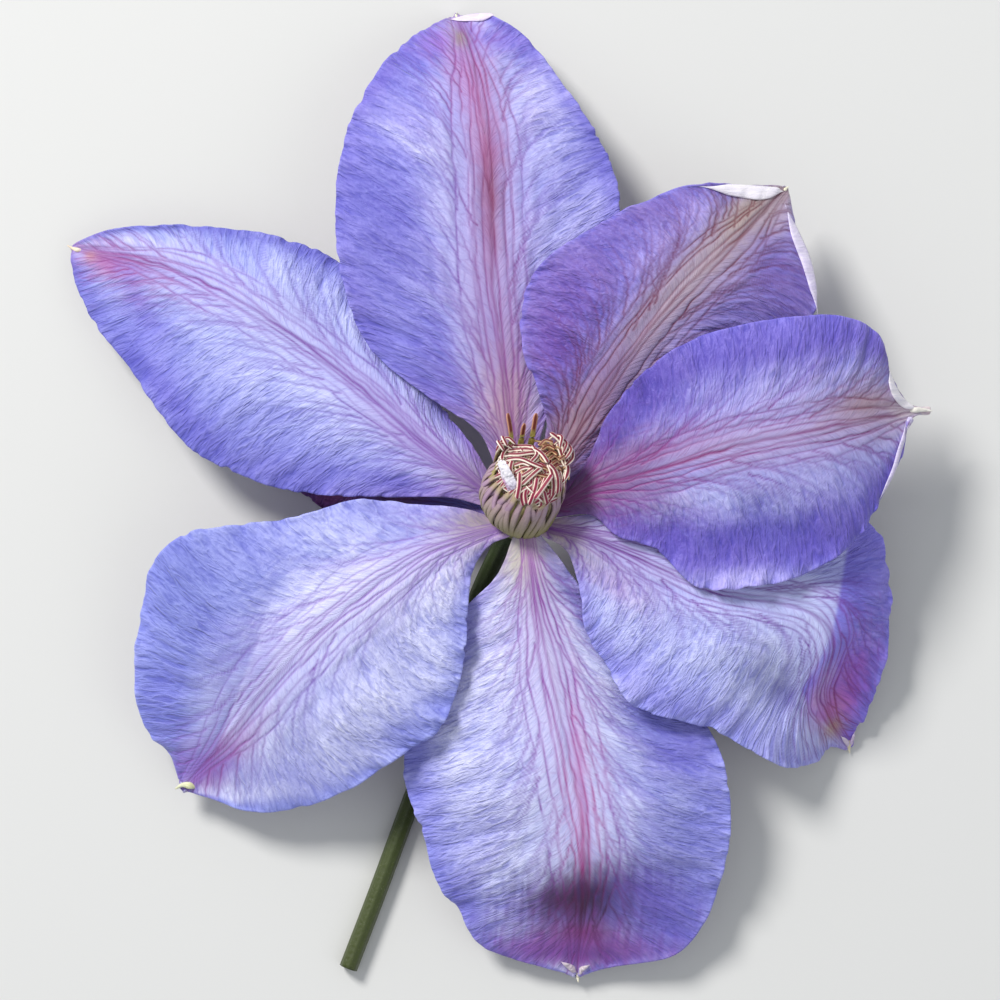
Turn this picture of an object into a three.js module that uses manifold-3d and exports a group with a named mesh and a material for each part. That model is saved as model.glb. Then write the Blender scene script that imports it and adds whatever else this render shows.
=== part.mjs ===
// A large-flowered clematis, picked with its stalk and laid face up on a flat surface.
// Millimetres. +Z is up, out of the face of the flower; +Y is the top of the flower as it is seen from above,
// and the stalk runs away underneath it along the surface, towards -Y.
// The drawing is made about the middle of the flower, and the whole is shifted at the end, so that the origin
// lies on the surface under the middle of the flower's box.

import * as THREE from 'three';
import { mergeVertices } from 'three/addons/utils/BufferGeometryUtils.js';
import Module from 'manifold-3d';

// ---------------------------------------------------------------- driving dimensions

const BLADE = 0.7;            // thickness of a tepal
const MIDDLE = [4.21, -1.98]; // moves the middle of the box to the origin

// The receptacle, where stalk, tepals, stamens and carpels meet. Its axis leans to the top of the flower.
const RECEPTACLE_CENTRE = [0, -0.6, 17.5];
const RECEPTACLE_LEAN = 38;   // degrees from upright
const LEAN_TOWARDS = 78;      // degrees from +X
const RECEPTACLE_RADIUS = 5.0;
const SEAT_GAP = 0.55;        // clearance between pieces that grow from each other

const STALK_RADIUS = 1.5;
const STALK_ROUTE = [[-3, -5.8, 10], [-4.9, -9.4, 6.6], [-7.4, -15, 3.8], [-10.4, -24, 1.8],
  [-14.4, -38, 1.42], [-19.6, -52, 1.42], [-24.4, -65, 1.42], [-29.4, -78, 1.42]];

const FILAMENTS_OUTSIDE = 28; // stamens in the outer ring, which make the side of the cup
const FILAMENTS_INSIDE = 11;  // stamens in the inner ring
const STAMEN_SEED = 4;

const ROWS_ALONG = 22;        // facets of a tepal from claw to tip
const COLUMNS = [-1, -0.86, -0.68, -0.46, -0.22, 0, 0.22, 0.46, 0.68, 0.86, 1];

const COLOURS = {
  tepal: 0x8f8be0,
  darkTepal: 0x6f63cc,
  stamen: 0xc9a79a,
  petaloid: 0xe6d8ea,
  carpel: 0xb9b47c,
  stalk: 0x5c7a2c,
};

// ---------------------------------------------------------------- tepals

// Each tepal is a thin waved blade between three guide curves. A station gives, from claw to tip,
// a point [x, y, z] on the rib, on the left margin and on the right margin, as seen going out to the tip.
//   azimuth: where the claw sits round the receptacle, in degrees, and claw: its width there
//   drop:    how far below the receptacle's middle the claw sits
//   flare:   0 for sides that curve away from the rib, 1 for sides that level out again at the margin
//   waves:   [height, number, phase] of the ripple along the left and the right margin
//   swells:  bulges and hollows of the blade, each [x, y, radius, height]

const TEPALS = {
  tepal_top: {
    azimuth: 97, claw: 4.4, drop: 1, flare: 0.2,
    waves: [[0.5, 3, 0.1], [0.6, 4, 0.4]],
    swells: [[-17, 62, 9, 1.2], [4, 70, 7, -1.2]],
    stations: [
      [[-2, 10.9, 16.2], [-7.1, 12.2, 15.8], [2.8, 11.9, 16.2]],
      [[-2.8, 18.1, 17.4], [-15.2, 18, 16.6], [6.1, 20.8, 17.2]],
      [[-3.6, 26.5, 18.4], [-25.1, 26.1, 17], [10.5, 31, 17.8]],
      [[-4.8, 36.4, 18.8], [-29.5, 37, 17], [13.7, 40.6, 17.6]],
      [[-5.4, 46.3, 18.2], [-30.7, 48.4, 16.4], [15.7, 49.3, 16.8]],
      [[-5.8, 56.3, 16.6], [-29.8, 58.9, 14.6], [14.2, 57.3, 14.8]],
      [[-6.8, 65.3, 14], [-26.9, 67, 12.2], [10.8, 63.8, 12.6]],
      [[-8, 72.6, 10.6], [-22, 74.9, 9.4], [5.8, 71.1, 10.4]],
      [[-9.4, 77.7, 7], [-17.1, 79.4, 6.2], [1.3, 77.3, 8.4]],
      [[-10.4, 80.7, 3.6], [-13.8, 81.1, 3.6], [-4.2, 82.6, 6.4]],
      [[-11.2, 83.2, 0.2], [-11.5, 83, 0.4], [-10.6, 83.1, 0.5]],
    ],
  },
  tepal_upper_right: {
    azimuth: 49, claw: 3.4, drop: 1, flare: 0.3,
    waves: [[0.5, 3, 0.6], [0.4, 3, 0.2]],
    swells: [[12, 33, 8, 1.4]],
    stations: [
      [[7.7, 9.7, 17.8], [4, 12.9, 17.6], [11.2, 7.6, 17.2]],
      [[12, 16.4, 19.8], [3.1, 17.8, 19.6], [16.3, 12.5, 17.4]],
      [[17.1, 23.9, 21.4], [0.5, 24.6, 20.8], [23.4, 18.3, 17.8]],
      [[22.6, 31.1, 22], [-0.2, 31.8, 21.2], [31.7, 23.1, 17.6]],
      [[27.8, 36.9, 22], [2.5, 38.7, 21.6], [39.4, 26.5, 17.4]],
      [[32.6, 41.5, 21], [10.2, 44.8, 21.2], [45.2, 28.7, 17]],
      [[36.5, 45.2, 19], [19.2, 49.7, 20.4], [48.4, 33.5, 16.4]],
      [[39.5, 48.4, 16.4], [27.5, 52.7, 18.6], [47.1, 40, 15.6]],
      [[41.8, 50.9, 13.8], [35.3, 52.8, 16.4], [44.7, 46.2, 14.2]],
      [[44, 53, 10.6], [43.6, 53.1, 11], [44.1, 52.4, 10.8]],
    ],
  },
  tepal_right: {
    azimuth: 12, claw: 3.0, drop: 1, flare: 0.9,
    waves: [[0.5, 3, 0.3], [0.5, 3, 0.8]],
    swells: [[30, 15, 9, 1.2], [40, -7, 8, -1]],
    stations: [
      [[11, 2.8, 19], [10.7, 7.4, 18.8], [11.3, -1.2, 19.2]],
      [[17.9, 4.6, 20.8], [13.6, 13.9, 20.8], [15.6, -4.6, 20.6]],
      [[25.7, 6.9, 22.8], [18.8, 20.6, 22.4], [22, -6.9, 20.4]],
      [[34.6, 9.6, 24.2], [26.6, 26.5, 23.6], [29, -13.1, 20.8]],
      [[42.8, 11.4, 24.4], [36.6, 29.5, 24.6], [38.2, -13, 21]],
      [[49.9, 12.8, 23.2], [45.4, 30.8, 24.6], [47.3, -10.5, 20.6]],
      [[55.6, 13.9, 21], [52.8, 30.6, 23.2], [54.7, -5.6, 19.6]],
      [[60, 14.8, 18], [58.6, 27.7, 20.6], [59, 1, 18]],
      [[62.8, 15.4, 15.6], [60.5, 21.4, 17.8], [61.3, 8.8, 16.2]],
      [[64.8, 15.7, 14.2], [63.7, 17, 15], [63.9, 14.2, 15]],
      [[67.6, 15.9, 12.6], [67.4, 16.1, 12.8], [67.4, 15.6, 12.8]],
    ],
  },
  tepal_lower_right: {
    azimuth: -36, claw: 3.8, drop: 1, flare: 0.3,
    waves: [[0.5, 3, 0.2], [0.6, 4, 0.5]],
    swells: [[43, -31, 5.5, -3.2], [33, -22, 9, 1.2]],
    stations: [
      [[10.2, -5.1, 19.8], [12.7, -1.3, 17.4], [7.1, -6.9, 19.2]],
      [[16.8, -7.7, 18.8], [21.8, -1, 15.8], [9.5, -13, 18.6]],
      [[24.5, -11, 18.2], [32.6, -0.3, 15.2], [10.7, -20.8, 18.2]],
      [[32.8, -14.2, 18], [44.2, 0.2, 14.6], [13.8, -26, 17.6]],
      [[42.1, -15.8, 17.4], [54.3, -0.3, 13], [18.3, -32.7, 17]],
      [[48.7, -18, 16.6], [59.6, -6.2, 10.8], [25.3, -35.2, 16.4]],
      [[51.1, -22.5, 15.4], [61.1, -14.7, 8.8], [32.3, -37.2, 14.8]],
      [[50.3, -27.5, 13.4], [61.1, -21.8, 7.2], [38.4, -40.6, 12]],
      [[49.5, -31.8, 10.6], [59.5, -29.7, 5.6], [44.9, -43.6, 8.4]],
      [[51.1, -35.7, 7], [57.5, -35.1, 4], [49.2, -42.7, 4.4]],
      [[53.5, -38.9, 2.8], [55.8, -37.9, 2.4], [52.1, -40.4, 2.2]],
      [[55.3, -40.9, 0.2], [55.6, -40.7, 0.5], [54.9, -41.1, 0.5]],
    ],
  },
  tepal_bottom: {
    azimuth: -82.5, claw: 4.5, drop: 1, flare: 0.6,
    waves: [[0.5, 3, 0.7], [0.5, 3, 0.3]],
    swells: [[-5, -46, 8, 1.4], [21, -52, 9, 1.4]],
    stations: [
      [[1.5, -10.8, 20.2], [6.1, -9.4, 18.4], [-3.8, -11.2, 18.8]],
      [[2.8, -17.8, 18.8], [10.7, -15.5, 15.8], [-9.4, -17.3, 16.6]],
      [[4.3, -25.4, 17.6], [17.4, -23.5, 14.2], [-11.8, -24.8, 14.6]],
      [[5.9, -33.3, 16.6], [24.7, -31.7, 13], [-15.8, -33.2, 13.4]],
      [[7.6, -41.2, 15.6], [30.9, -37.5, 12.2], [-19.3, -40.5, 12.2]],
      [[9.1, -48.7, 14.2], [33.8, -46.2, 11.4], [-19, -47.6, 11.6]],
      [[10.1, -55.8, 12.4], [34.3, -53.7, 10.2], [-16.3, -54.5, 10.6]],
      [[10.5, -62.3, 10.2], [33.2, -61.1, 8.6], [-14.2, -62.8, 9]],
      [[10.2, -68.4, 7.6], [30.6, -68.8, 6.8], [-10.2, -68.3, 7]],
      [[9.6, -73.4, 5], [25.9, -74.9, 5], [-6.5, -73.9, 5]],
      [[9.3, -76.4, 3.4], [18.7, -77, 4], [-0.5, -77.2, 4]],
      [[9.1, -79.4, 2], [9.4, -78.9, 2.2], [8.8, -78.9, 2.2]],
    ],
  },
  tepal_lower_left: {
    azimuth: -139, claw: 4.4, drop: 1, flare: 0.5,
    waves: [[0.6, 3, 0.4], [0.6, 4, 0.1]],
    swells: [[-50, -24, 9, 1.6], [-30, -35, 9, 1.2]],
    stations: [
      [[-9, -5.3, 20.2], [-6.1, -6.7, 19.6], [-10, -0.7, 18.8]],
      [[-15.3, -7.5, 20.8], [-8.6, -10.9, 19.4], [-17.8, 0, 18.6]],
      [[-21.5, -11.2, 21], [-9.4, -16.5, 18.8], [-27.2, 0.8, 18.2]],
      [[-28.1, -16.1, 20.8], [-9.7, -22.9, 18.4], [-36.3, -1.8, 17.8]],
      [[-34.2, -21.2, 19.8], [-10.9, -29.3, 18], [-46.2, -3.3, 16.8]],
      [[-39.5, -26.2, 18], [-13.7, -36.1, 17.4], [-55.6, -4.8, 15]],
      [[-44, -31.4, 15.6], [-19.7, -40.5, 15.4], [-61.2, -9.5, 13]],
      [[-47.5, -36, 13], [-28.4, -46.5, 12.4], [-63.7, -19.6, 11.2]],
      [[-50.5, -40, 10.4], [-37.2, -50.2, 9.6], [-64.4, -31, 9.2]],
      [[-53.5, -43.3, 7.8], [-45.7, -50.9, 7.4], [-62.4, -38.1, 7.4]],
      [[-55.5, -45.4, 6.2], [-52.1, -48.9, 6.2], [-59.3, -41.2, 6.4]],
      [[-57.3, -47.7, 4.8], [-56.9, -47.8, 5], [-57.4, -47.2, 5]],
    ],
  },
  tepal_left: {
    azimuth: 150, claw: 3.4, drop: 1, flare: 0.3,
    waves: [[0.5, 3, 0.5], [0.4, 3, 0.1]],
    swells: [[-44, 36, 9, 1.2], [-48, 15, 8, 1]],
    stations: [
      [[-10.1, 5.6, 16.6], [-12.1, 1.7, 16.2], [-8.4, 9.4, 14.8]],
      [[-16.2, 10.2, 16.4], [-22, 1.7, 15.6], [-13.1, 16.3, 13.2]],
      [[-22.8, 16.2, 15.8], [-31.9, 2, 14.8], [-16.4, 23.9, 12.2]],
      [[-29.4, 21.5, 15.2], [-39.9, 3.1, 13.8], [-20.1, 31.3, 11.8]],
      [[-36.1, 26.8, 14.4], [-48.3, 6, 12.2], [-25.8, 37.6, 11.4]],
      [[-43.3, 31.7, 13.2], [-55.5, 10, 10.4], [-33, 42, 10.8]],
      [[-50.4, 35.9, 11.6], [-61.5, 17.5, 8.6], [-43, 45, 10]],
      [[-57.2, 39.2, 9.6], [-67.1, 25.1, 7], [-53.1, 46.6, 8.4]],
      [[-63.2, 41, 7.6], [-72.1, 31.5, 5.6], [-62.5, 46.7, 6.8]],
      [[-69, 42.1, 5.4], [-74.6, 36.8, 4.2], [-69, 46.2, 5]],
      [[-73.2, 42.9, 3.6], [-75.6, 40.4, 3.2], [-73, 44.9, 3.8]],
      [[-76, 43.5, 2.2], [-75.8, 43.1, 2.4], [-75.8, 43.8, 2.4]],
    ],
  },
  tepal_back_left: {
    azimuth: 183, claw: 2.4, drop: 2, flare: 0.2,
    waves: [[0, 1, 0], [0, 1, 0]],
    swells: [],
    stations: [
      [[-11.3, 0.5, 11.6], [-11.8, -2, 11], [-10.8, 3, 11.2]],
      [[-17.2, 1.2, 9], [-17.9, -3.2, 8], [-16.5, 5.3, 8.4]],
      [[-23.1, 1.8, 6], [-24.3, -3.5, 5], [-22.6, 7.2, 5.4]],
      [[-28.8, 2.7, 3], [-29.8, -2.4, 2.2], [-28.8, 8.4, 2.4]],
      [[-33.4, 3.4, 1], [-33.4, -0.2, 0.6], [-33.9, 8.4, 0.8]],
      [[-37.7, 4.4, 0.3], [-37.3, 2.4, 0.3], [-38, 7.4, 0.3]],
      [[-41.1, 5.1, 0.3], [-40.4, 3.9, 0.3], [-41.1, 6.6, 0.3]],
      [[-43.8, 5.7, 0.3], [-43.6, 5.4, 0.3], [-43.8, 6.1, 0.3]],
    ],
  },
};

// ---------------------------------------------------------------- helpers

const radians = THREE.MathUtils.degToRad;
const vector = (point) => new THREE.Vector3(...point);

const lean = radians(RECEPTACLE_LEAN);
const towards = radians(LEAN_TOWARDS);
const CENTRE = vector(RECEPTACLE_CENTRE);
const ACROSS = new THREE.Vector3(1, 0, 0).applyAxisAngle(new THREE.Vector3(0, 0, 1), towards - Math.PI / 2);
const AXIS = new THREE.Vector3(0, 0, 1).applyAxisAngle(ACROSS, -lean);
const UPWARD = AXIS.clone().cross(ACROSS);

// A point of the receptacle's own frame: out from its axis, round it in degrees from +X, and up along it.
function receptaclePoint(out, around, up) {
  const turn = radians(around + 90 - LEAN_TOWARDS);
  return CENTRE.clone()
    .addScaledVector(ACROSS, out * Math.cos(turn))
    .addScaledVector(UPWARD, out * Math.sin(turn))
    .addScaledVector(AXIS, up);
}

// A shape turned about the receptacle's axis, from a profile of [out, up] points.
function turned(profile, sides) {
  const shape = new THREE.LatheGeometry(profile.map((place) => new THREE.Vector2(...place)), sides);
  const turn = new THREE.Quaternion().setFromUnitVectors(new THREE.Vector3(0, 1, 0), AXIS);
  return shape.applyQuaternion(turn).translate(...CENTRE.toArray());
}

// A repeatable draw of numbers between 0 and 1.
function draws(seed) {
  let state = seed;
  return () => {
    state = (state * 1664525 + 1013904223) % 4294967296;
    return state / 4294967296;
  };
}

// Nothing reaches below the surface that the flower lies on: what would is pressed flat against it.
function pressOntoSurface(geometry) {
  const position = geometry.getAttribute('position');
  for (let i = 0; i < position.count; i += 1) {
    position.setZ(i, Math.max(position.getZ(i), 0));
  }
  return geometry;
}

const wasm = await Module();
wasm.setup();

function asSolid(geometry) {
  const bare = geometry.clone();
  bare.deleteAttribute('normal');
  bare.deleteAttribute('uv');
  const welded = mergeVertices(bare, 1e-4);
  return new wasm.Manifold(new wasm.Mesh({
    numProp: 3,
    vertProperties: new Float32Array(welded.getAttribute('position').array),
    triVerts: new Uint32Array(welded.getIndex().array),
  }));
}

// Joins overlapping closed shapes into one solid.
function fuse(geometries) {
  let whole = asSolid(geometries[0]);
  for (const geometry of geometries.slice(1)) {
    whole = whole.add(asSolid(geometry));
  }
  const mesh = whole.getMesh();
  const joined = new THREE.BufferGeometry();
  joined.setAttribute('position', new THREE.BufferAttribute(new Float32Array(mesh.vertProperties), 3));
  joined.setIndex(new THREE.BufferAttribute(new Uint32Array(mesh.triVerts), 1));
  return joined;
}

function closedGeometry(vertices, triangles) {
  const geometry = new THREE.BufferGeometry();
  geometry.setAttribute('position', new THREE.Float32BufferAttribute(vertices, 3));
  geometry.setIndex(triangles);
  return geometry;
}

// ---------------------------------------------------------------- tepal blade

// The middle surface of a tepal as a function of u, from claw (0) to tip (1), and t, from the right margin
// (-1) over the rib (0) to the left margin (1).
function tepalSurface({ azimuth, claw, drop, flare, waves, swells, stations }) {
  const seat = RECEPTACLE_RADIUS + SEAT_GAP;
  const halfAngle = THREE.MathUtils.radToDeg(claw / 2 / seat);
  const root = [0, halfAngle, -halfAngle].map((turn) => receptaclePoint(seat, azimuth + turn, -drop));
  const guide = (side) => new THREE.CatmullRomCurve3([root[side], ...stations.map((row) => vector(row[side]))]);
  const [rib, left, right] = [guide(0), guide(1), guide(2)];

  return (u, t) => {
    const middle = rib.getPoint(u);
    const leftEdge = left.getPoint(u);
    const rightEdge = right.getPoint(u);
    const edge = t > 0 ? leftEdge : rightEdge;
    const point = middle.clone().multiplyScalar(1 - t * t)
      .addScaledVector(leftEdge, t * (t + 1) / 2)
      .addScaledVector(rightEdge, t * (t - 1) / 2);
    const away = Math.abs(t);
    const rise = (1 - flare) * away ** 2 + flare * (3 * away ** 2 - 2 * away ** 3);
    const [height, number, phase] = waves[t > 0 ? 0 : 1];
    const ripple = height * away ** 3 * Math.sin(Math.PI * u) * Math.sin(2 * Math.PI * (number * u + phase));
    point.z = middle.z + (edge.z - middle.z) * rise + ripple;
    for (const [x, y, radius, lift] of swells) {
      const near = ((point.x - x) ** 2 + (point.y - y) ** 2) / radius ** 2;
      point.z += lift * Math.exp(-near);
    }
    return point;
  };
}

// The blade is that surface given its thickness. Both faces are cut into triangles alike.
function tepalGeometry(tepal) {
  const surface = tepalSurface(tepal);
  const step = 0.002;
  const width = COLUMNS.length;
  const upper = [];
  const lower = [];
  for (let row = 0; row <= ROWS_ALONG; row += 1) {
    for (const t of COLUMNS) {
      const u = row / ROWS_ALONG;
      const along = surface(Math.min(u + step, 1), t).sub(surface(Math.max(u - step, 0), t));
      const across = surface(u, Math.min(t + step, 1)).sub(surface(u, Math.max(t - step, -1)));
      const normal = along.cross(across).normalize();
      const point = surface(u, t);
      const below = point.clone().addScaledVector(normal, -BLADE / 2);
      const above = point.clone().addScaledVector(normal, BLADE / 2);
      below.z = Math.max(below.z, 0);
      above.z = Math.max(above.z, BLADE);
      upper.push(above);
      lower.push(below);
    }
  }

  const triangles = [];
  const under = upper.length;
  const quad = (a, b, c, d) => triangles.push(a, b, c, a, c, d);
  for (let row = 0; row < ROWS_ALONG; row += 1) {
    for (let column = 0; column < width - 1; column += 1) {
      const a = row * width + column;
      const b = a + width;
      triangles.push(a, b, b + 1, a, b + 1, a + 1);
      triangles.push(under + a, under + b + 1, under + b, under + a, under + a + 1, under + b + 1);
    }
  }
  for (let row = 0; row < ROWS_ALONG; row += 1) {
    const right = row * width;
    const left = right + width - 1;
    quad(right + width, right, under + right, under + right + width);
    quad(left, left + width, under + left + width, under + left);
  }
  for (let column = 0; column < width - 1; column += 1) {
    const tip = ROWS_ALONG * width + column;
    quad(column, column + 1, under + column + 1, under + column);
    quad(tip + 1, tip, under + tip, under + tip + 1);
  }
  return closedGeometry([...upper, ...lower].flatMap((point) => point.toArray()), triangles);
}

// ---------------------------------------------------------------- stamens and carpels

// A slim body along a path: its section is a low triangle, whose ridge faces away from the receptacle's axis.
function strap(path, widths, thickness) {
  const corners = [];
  path.forEach((point, index) => {
    const before = path[Math.max(index - 1, 0)];
    const after = path[Math.min(index + 1, path.length - 1)];
    const along = after.clone().sub(before).normalize();
    const fromAxis = point.clone().sub(CENTRE);
    const outward = fromAxis.clone().addScaledVector(AXIS, -fromAxis.dot(AXIS)).normalize();
    outward.addScaledVector(AXIS, 0.35 + 0.1 * index);
    const side = along.clone().cross(outward).normalize();
    const face = side.clone().cross(along).normalize();
    const half = widths[index] / 2;
    corners.push(
      point.clone().addScaledVector(side, half).addScaledVector(face, -thickness / 2),
      point.clone().addScaledVector(face, thickness / 2),
      point.clone().addScaledVector(side, -half).addScaledVector(face, -thickness / 2),
    );
  });
  const triangles = [];
  for (let ring = 0; ring < path.length - 1; ring += 1) {
    for (let corner = 0; corner < 3; corner += 1) {
      const a = ring * 3 + corner;
      const b = ring * 3 + (corner + 1) % 3;
      triangles.push(a, b + 3, b, a, a + 3, b + 3);
    }
  }
  const last = corners.length - 3;
  triangles.push(0, 1, 2, last, last + 2, last + 1);
  return closedGeometry(corners.flatMap((point) => point.toArray()), triangles);
}

const STAMEN_WIDTHS = [0.8, 1.0, 1.05, 0.85, 0.9, 0.9, 0.6];
const STAMEN_THICKNESS = 0.6;

// Every stamen rises from the ring, swells out into the side of the cup and bends its anther over the top.
function stamenPath(around, profile, twist) {
  return profile.map(([out, up], index) => {
    const bend = Math.max(index - 2, 0) / (profile.length - 3);
    return receptaclePoint(out, around + twist * bend, up);
  });
}

function stamensGeometry() {
  const draw = draws(STAMEN_SEED);
  const between = (low, high) => low + (high - low) * draw();
  const band = [[2.6, 0.25], [5.1, 0.25], [5.1, 1.2], [2.6, 1.2], [2.6, 0.25]];
  const pieces = [turned(band, 24)];
  for (let i = 0; i < FILAMENTS_OUTSIDE; i += 1) {
    const around = 360 * (i + 0.5) / FILAMENTS_OUTSIDE;
    const reach = between(1.6, 4.4);
    const rise = between(-0.3, 0.4);
    const profile = [[4.6, 0.7], [5.9, 3], [6.9, 6.4], [6.9, 9.6],
      [6, 11.8 + rise], [(6 + reach) / 2, 13 + rise], [reach, 13.5 + rise]];
    pieces.push(strap(stamenPath(around, profile, between(-75, 75)), STAMEN_WIDTHS, STAMEN_THICKNESS));
  }
  for (let i = 0; i < FILAMENTS_INSIDE; i += 1) {
    const around = 360 * (i + 0.25) / FILAMENTS_INSIDE;
    const rise = between(-0.4, 0.2);
    const profile = [[3.6, 0.7], [4.4, 3], [5.1, 6.4], [5.2, 9.4],
      [4.3, 11.4 + rise], [2.6, 12.3 + rise], [1.1, 12.7 + rise]];
    pieces.push(strap(stamenPath(around, profile, between(-60, 60)), STAMEN_WIDTHS, STAMEN_THICKNESS));
  }
  // A few at the top of the flower stand up instead, with their anthers turned outwards.
  for (const [around, splay] of [[117, 2.4], [102, 0.6], [89, 1.9]]) {
    const profile = [[4.6, 0.7], [5.9, 3], [7, 6.4], [7.2, 9.4],
      [7.3, 11.6], [7.3 + splay / 2, 12.9], [7.3 + splay, 14]];
    pieces.push(strap(stamenPath(around, profile, 4), STAMEN_WIDTHS, STAMEN_THICKNESS));
  }
  return fuse(pieces);
}

// One stamen has turned into a small crumpled petal, which lies on the outside of the others.
function petaloidGeometry() {
  const route = [[6.1, 172, 0.7], [7.1, 172, 2.8], [8.1, 172, 5.4], [8.4, 172, 7.6], [8.2, 173, 10.2],
    [7.2, 182, 12.8], [6.2, 208, 14.2], [6.8, 236, 13.6]];
  const widths = [0.8, 0.9, 0.9, 1.0, 1.3, 2.2, 2.8, 1.2];
  return strap(route.map((place) => receptaclePoint(...place)), widths, 0.65);
}

// The carpels stand inside the ring of stamens: a tuft of pointed styles on one small cushion.
function carpelsGeometry() {
  const cushion = [[0, 0.25], [2.2, 0.25], [2.2, 1.1], [1.4, 1.9], [0, 2.1]];
  const pieces = [turned(cushion, 12)];
  for (const [count, out] of [[1, 0], [7, 1.35]]) {
    for (let i = 0; i < count; i += 1) {
      const around = 360 * i / count + 20;
      const path = [[out, 0.7], [out * 1.15, 3.6], [out * 1.35, 6.4], [out * 1.5, 9]]
        .map(([radius, up]) => receptaclePoint(radius + 0.01, around, up));
      pieces.push(strap(path, [1.2, 1.0, 0.8, 0.6], 0.9));
    }
  }
  return fuse(pieces);
}

// ---------------------------------------------------------------- stalk and receptacle

function stalkGeometry() {
  const cup = [[0, -6.4], [1.5, -6.4], [2.1, -5], [4.2, -3.1], [RECEPTACLE_RADIUS, -2.2],
    [RECEPTACLE_RADIUS, -0.3], [4.6, -0.1], [0, -0.1]];
  const receptacle = turned(cup, 20);
  const route = new THREE.CatmullRomCurve3([receptaclePoint(0, 0, -4), ...STALK_ROUTE.map(vector)]);
  const outline = new THREE.Shape();
  const sides = 10;
  for (let i = 0; i < sides; i += 1) {
    const angle = 2 * Math.PI * i / sides;
    const point = [STALK_RADIUS * Math.cos(angle), STALK_RADIUS * Math.sin(angle)];
    if (i === 0) {
      outline.moveTo(...point);
    } else {
      outline.lineTo(...point);
    }
  }
  const stalk = new THREE.ExtrudeGeometry(outline, { steps: 26, extrudePath: route, bevelEnabled: false });
  return fuse([receptacle, pressOntoSurface(stalk)]);
}

// ---------------------------------------------------------------- the flower

const flower = new THREE.Group();
flower.position.set(...MIDDLE, 0);

function addPiece(name, geometry, colour, roughness) {
  const faceted = geometry.clone();
  faceted.computeVertexNormals();
  const piece = new THREE.Mesh(faceted, new THREE.MeshStandardMaterial({ color: colour, roughness, metalness: 0 }));
  piece.name = name;
  flower.add(piece);
}

for (const [name, tepal] of Object.entries(TEPALS)) {
  const dark = name === 'tepal_upper_right' || name === 'tepal_back_left';
  addPiece(name, tepalGeometry(tepal), dark ? COLOURS.darkTepal : COLOURS.tepal, 0.6);
}
addPiece('stamens', stamensGeometry(), COLOURS.stamen, 0.6);
addPiece('petaloid_stamen', petaloidGeometry(), COLOURS.petaloid, 0.6);
addPiece('carpels', carpelsGeometry(), COLOURS.carpel, 0.7);
addPiece('stalk', stalkGeometry(), COLOURS.stalk, 0.5);

export default flower;
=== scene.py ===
# A large-flowered clematis, picked with its stalk and laid face up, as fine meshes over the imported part.
# Lengths are millimetres about the middle of the flower, and place() puts them in the frame. The materials,
# the hairs and the studio are in metres.

import math

import bpy
import numpy as np
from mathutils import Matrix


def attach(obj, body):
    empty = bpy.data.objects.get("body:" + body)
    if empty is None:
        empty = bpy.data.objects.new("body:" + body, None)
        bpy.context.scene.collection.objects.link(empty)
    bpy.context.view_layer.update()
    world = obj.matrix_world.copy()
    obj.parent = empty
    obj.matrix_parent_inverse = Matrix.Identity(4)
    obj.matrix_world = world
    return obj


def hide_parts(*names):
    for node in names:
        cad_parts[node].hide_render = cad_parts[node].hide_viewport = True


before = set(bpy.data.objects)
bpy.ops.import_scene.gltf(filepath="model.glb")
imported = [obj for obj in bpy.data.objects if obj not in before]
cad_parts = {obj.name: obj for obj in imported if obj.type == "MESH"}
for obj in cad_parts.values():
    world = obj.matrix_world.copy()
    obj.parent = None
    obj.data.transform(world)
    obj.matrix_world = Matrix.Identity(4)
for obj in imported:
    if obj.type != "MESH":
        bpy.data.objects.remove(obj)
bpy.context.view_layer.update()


# ---------------------------------------------------------------------------------------------- receptacle
# The receptacle is the swollen end of the stalk, a shallow green cup that tepals, stamens and carpels grow
# from. It is round about an axis that leans to the top of the flower, with eight faint ribs, one to a tepal.

MIDDLE = np.array([4.21, -1.98, 0.0])
CUP_CENTRE = np.array([0.0, -0.6, 17.5])
CUP_LEAN = math.radians(38)
CUP_TOWARDS = math.radians(78)
CUP_RADIUS = 5.0
CUP_PROFILE = [(0.0, -6.9), (1.45, -6.7), (1.75, -5.9), (2.4, -4.7), (3.5, -3.7), (4.3, -3.0), (4.8, -2.3),
               (4.9, -1.5), (4.75, -0.8), (4.5, -0.3), (4.0, -0.1), (0.0, -0.1)]      # out from the axis, up
CUP_SIDES = 64
CUP_RIBS = 8
CUP_GREEN = (140, 138, 96)
MOTTLE = 0.44         # from the darkest to the lightest cell of any soft tissue, as a share of its tint
NEARLY_NOTHING = 0.02 # keeps a piece just off the floor, and the middle of a cap from closing to a point

CUP_ACROSS = np.array([math.sin(CUP_TOWARDS), -math.cos(CUP_TOWARDS), 0.0])
CUP_UPWARD = np.array([math.cos(CUP_TOWARDS) * math.cos(CUP_LEAN),
                       math.sin(CUP_TOWARDS) * math.cos(CUP_LEAN), -math.sin(CUP_LEAN)])
CUP_AXIS = np.array([math.cos(CUP_TOWARDS) * math.sin(CUP_LEAN),
                     math.sin(CUP_TOWARDS) * math.sin(CUP_LEAN), math.cos(CUP_LEAN)])


def cup_point(out, around, up):
    """Points out from the receptacle's axis, around it in degrees from +X, and up along it."""
    turn = np.radians(around) + math.pi / 2 - CUP_TOWARDS
    out, turn, up = np.broadcast_arrays(np.asarray(out, float), turn, np.asarray(up, float))
    return (CUP_CENTRE + (out * np.cos(turn))[..., None] * CUP_ACROSS
            + (out * np.sin(turn))[..., None] * CUP_UPWARD + up[..., None] * CUP_AXIS)


def place(points):
    """Millimetres about the middle of the flower, as metres in the part's frame."""
    return (np.asarray(points, float).reshape(-1, 3) + MIDDLE) * 0.001


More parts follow.
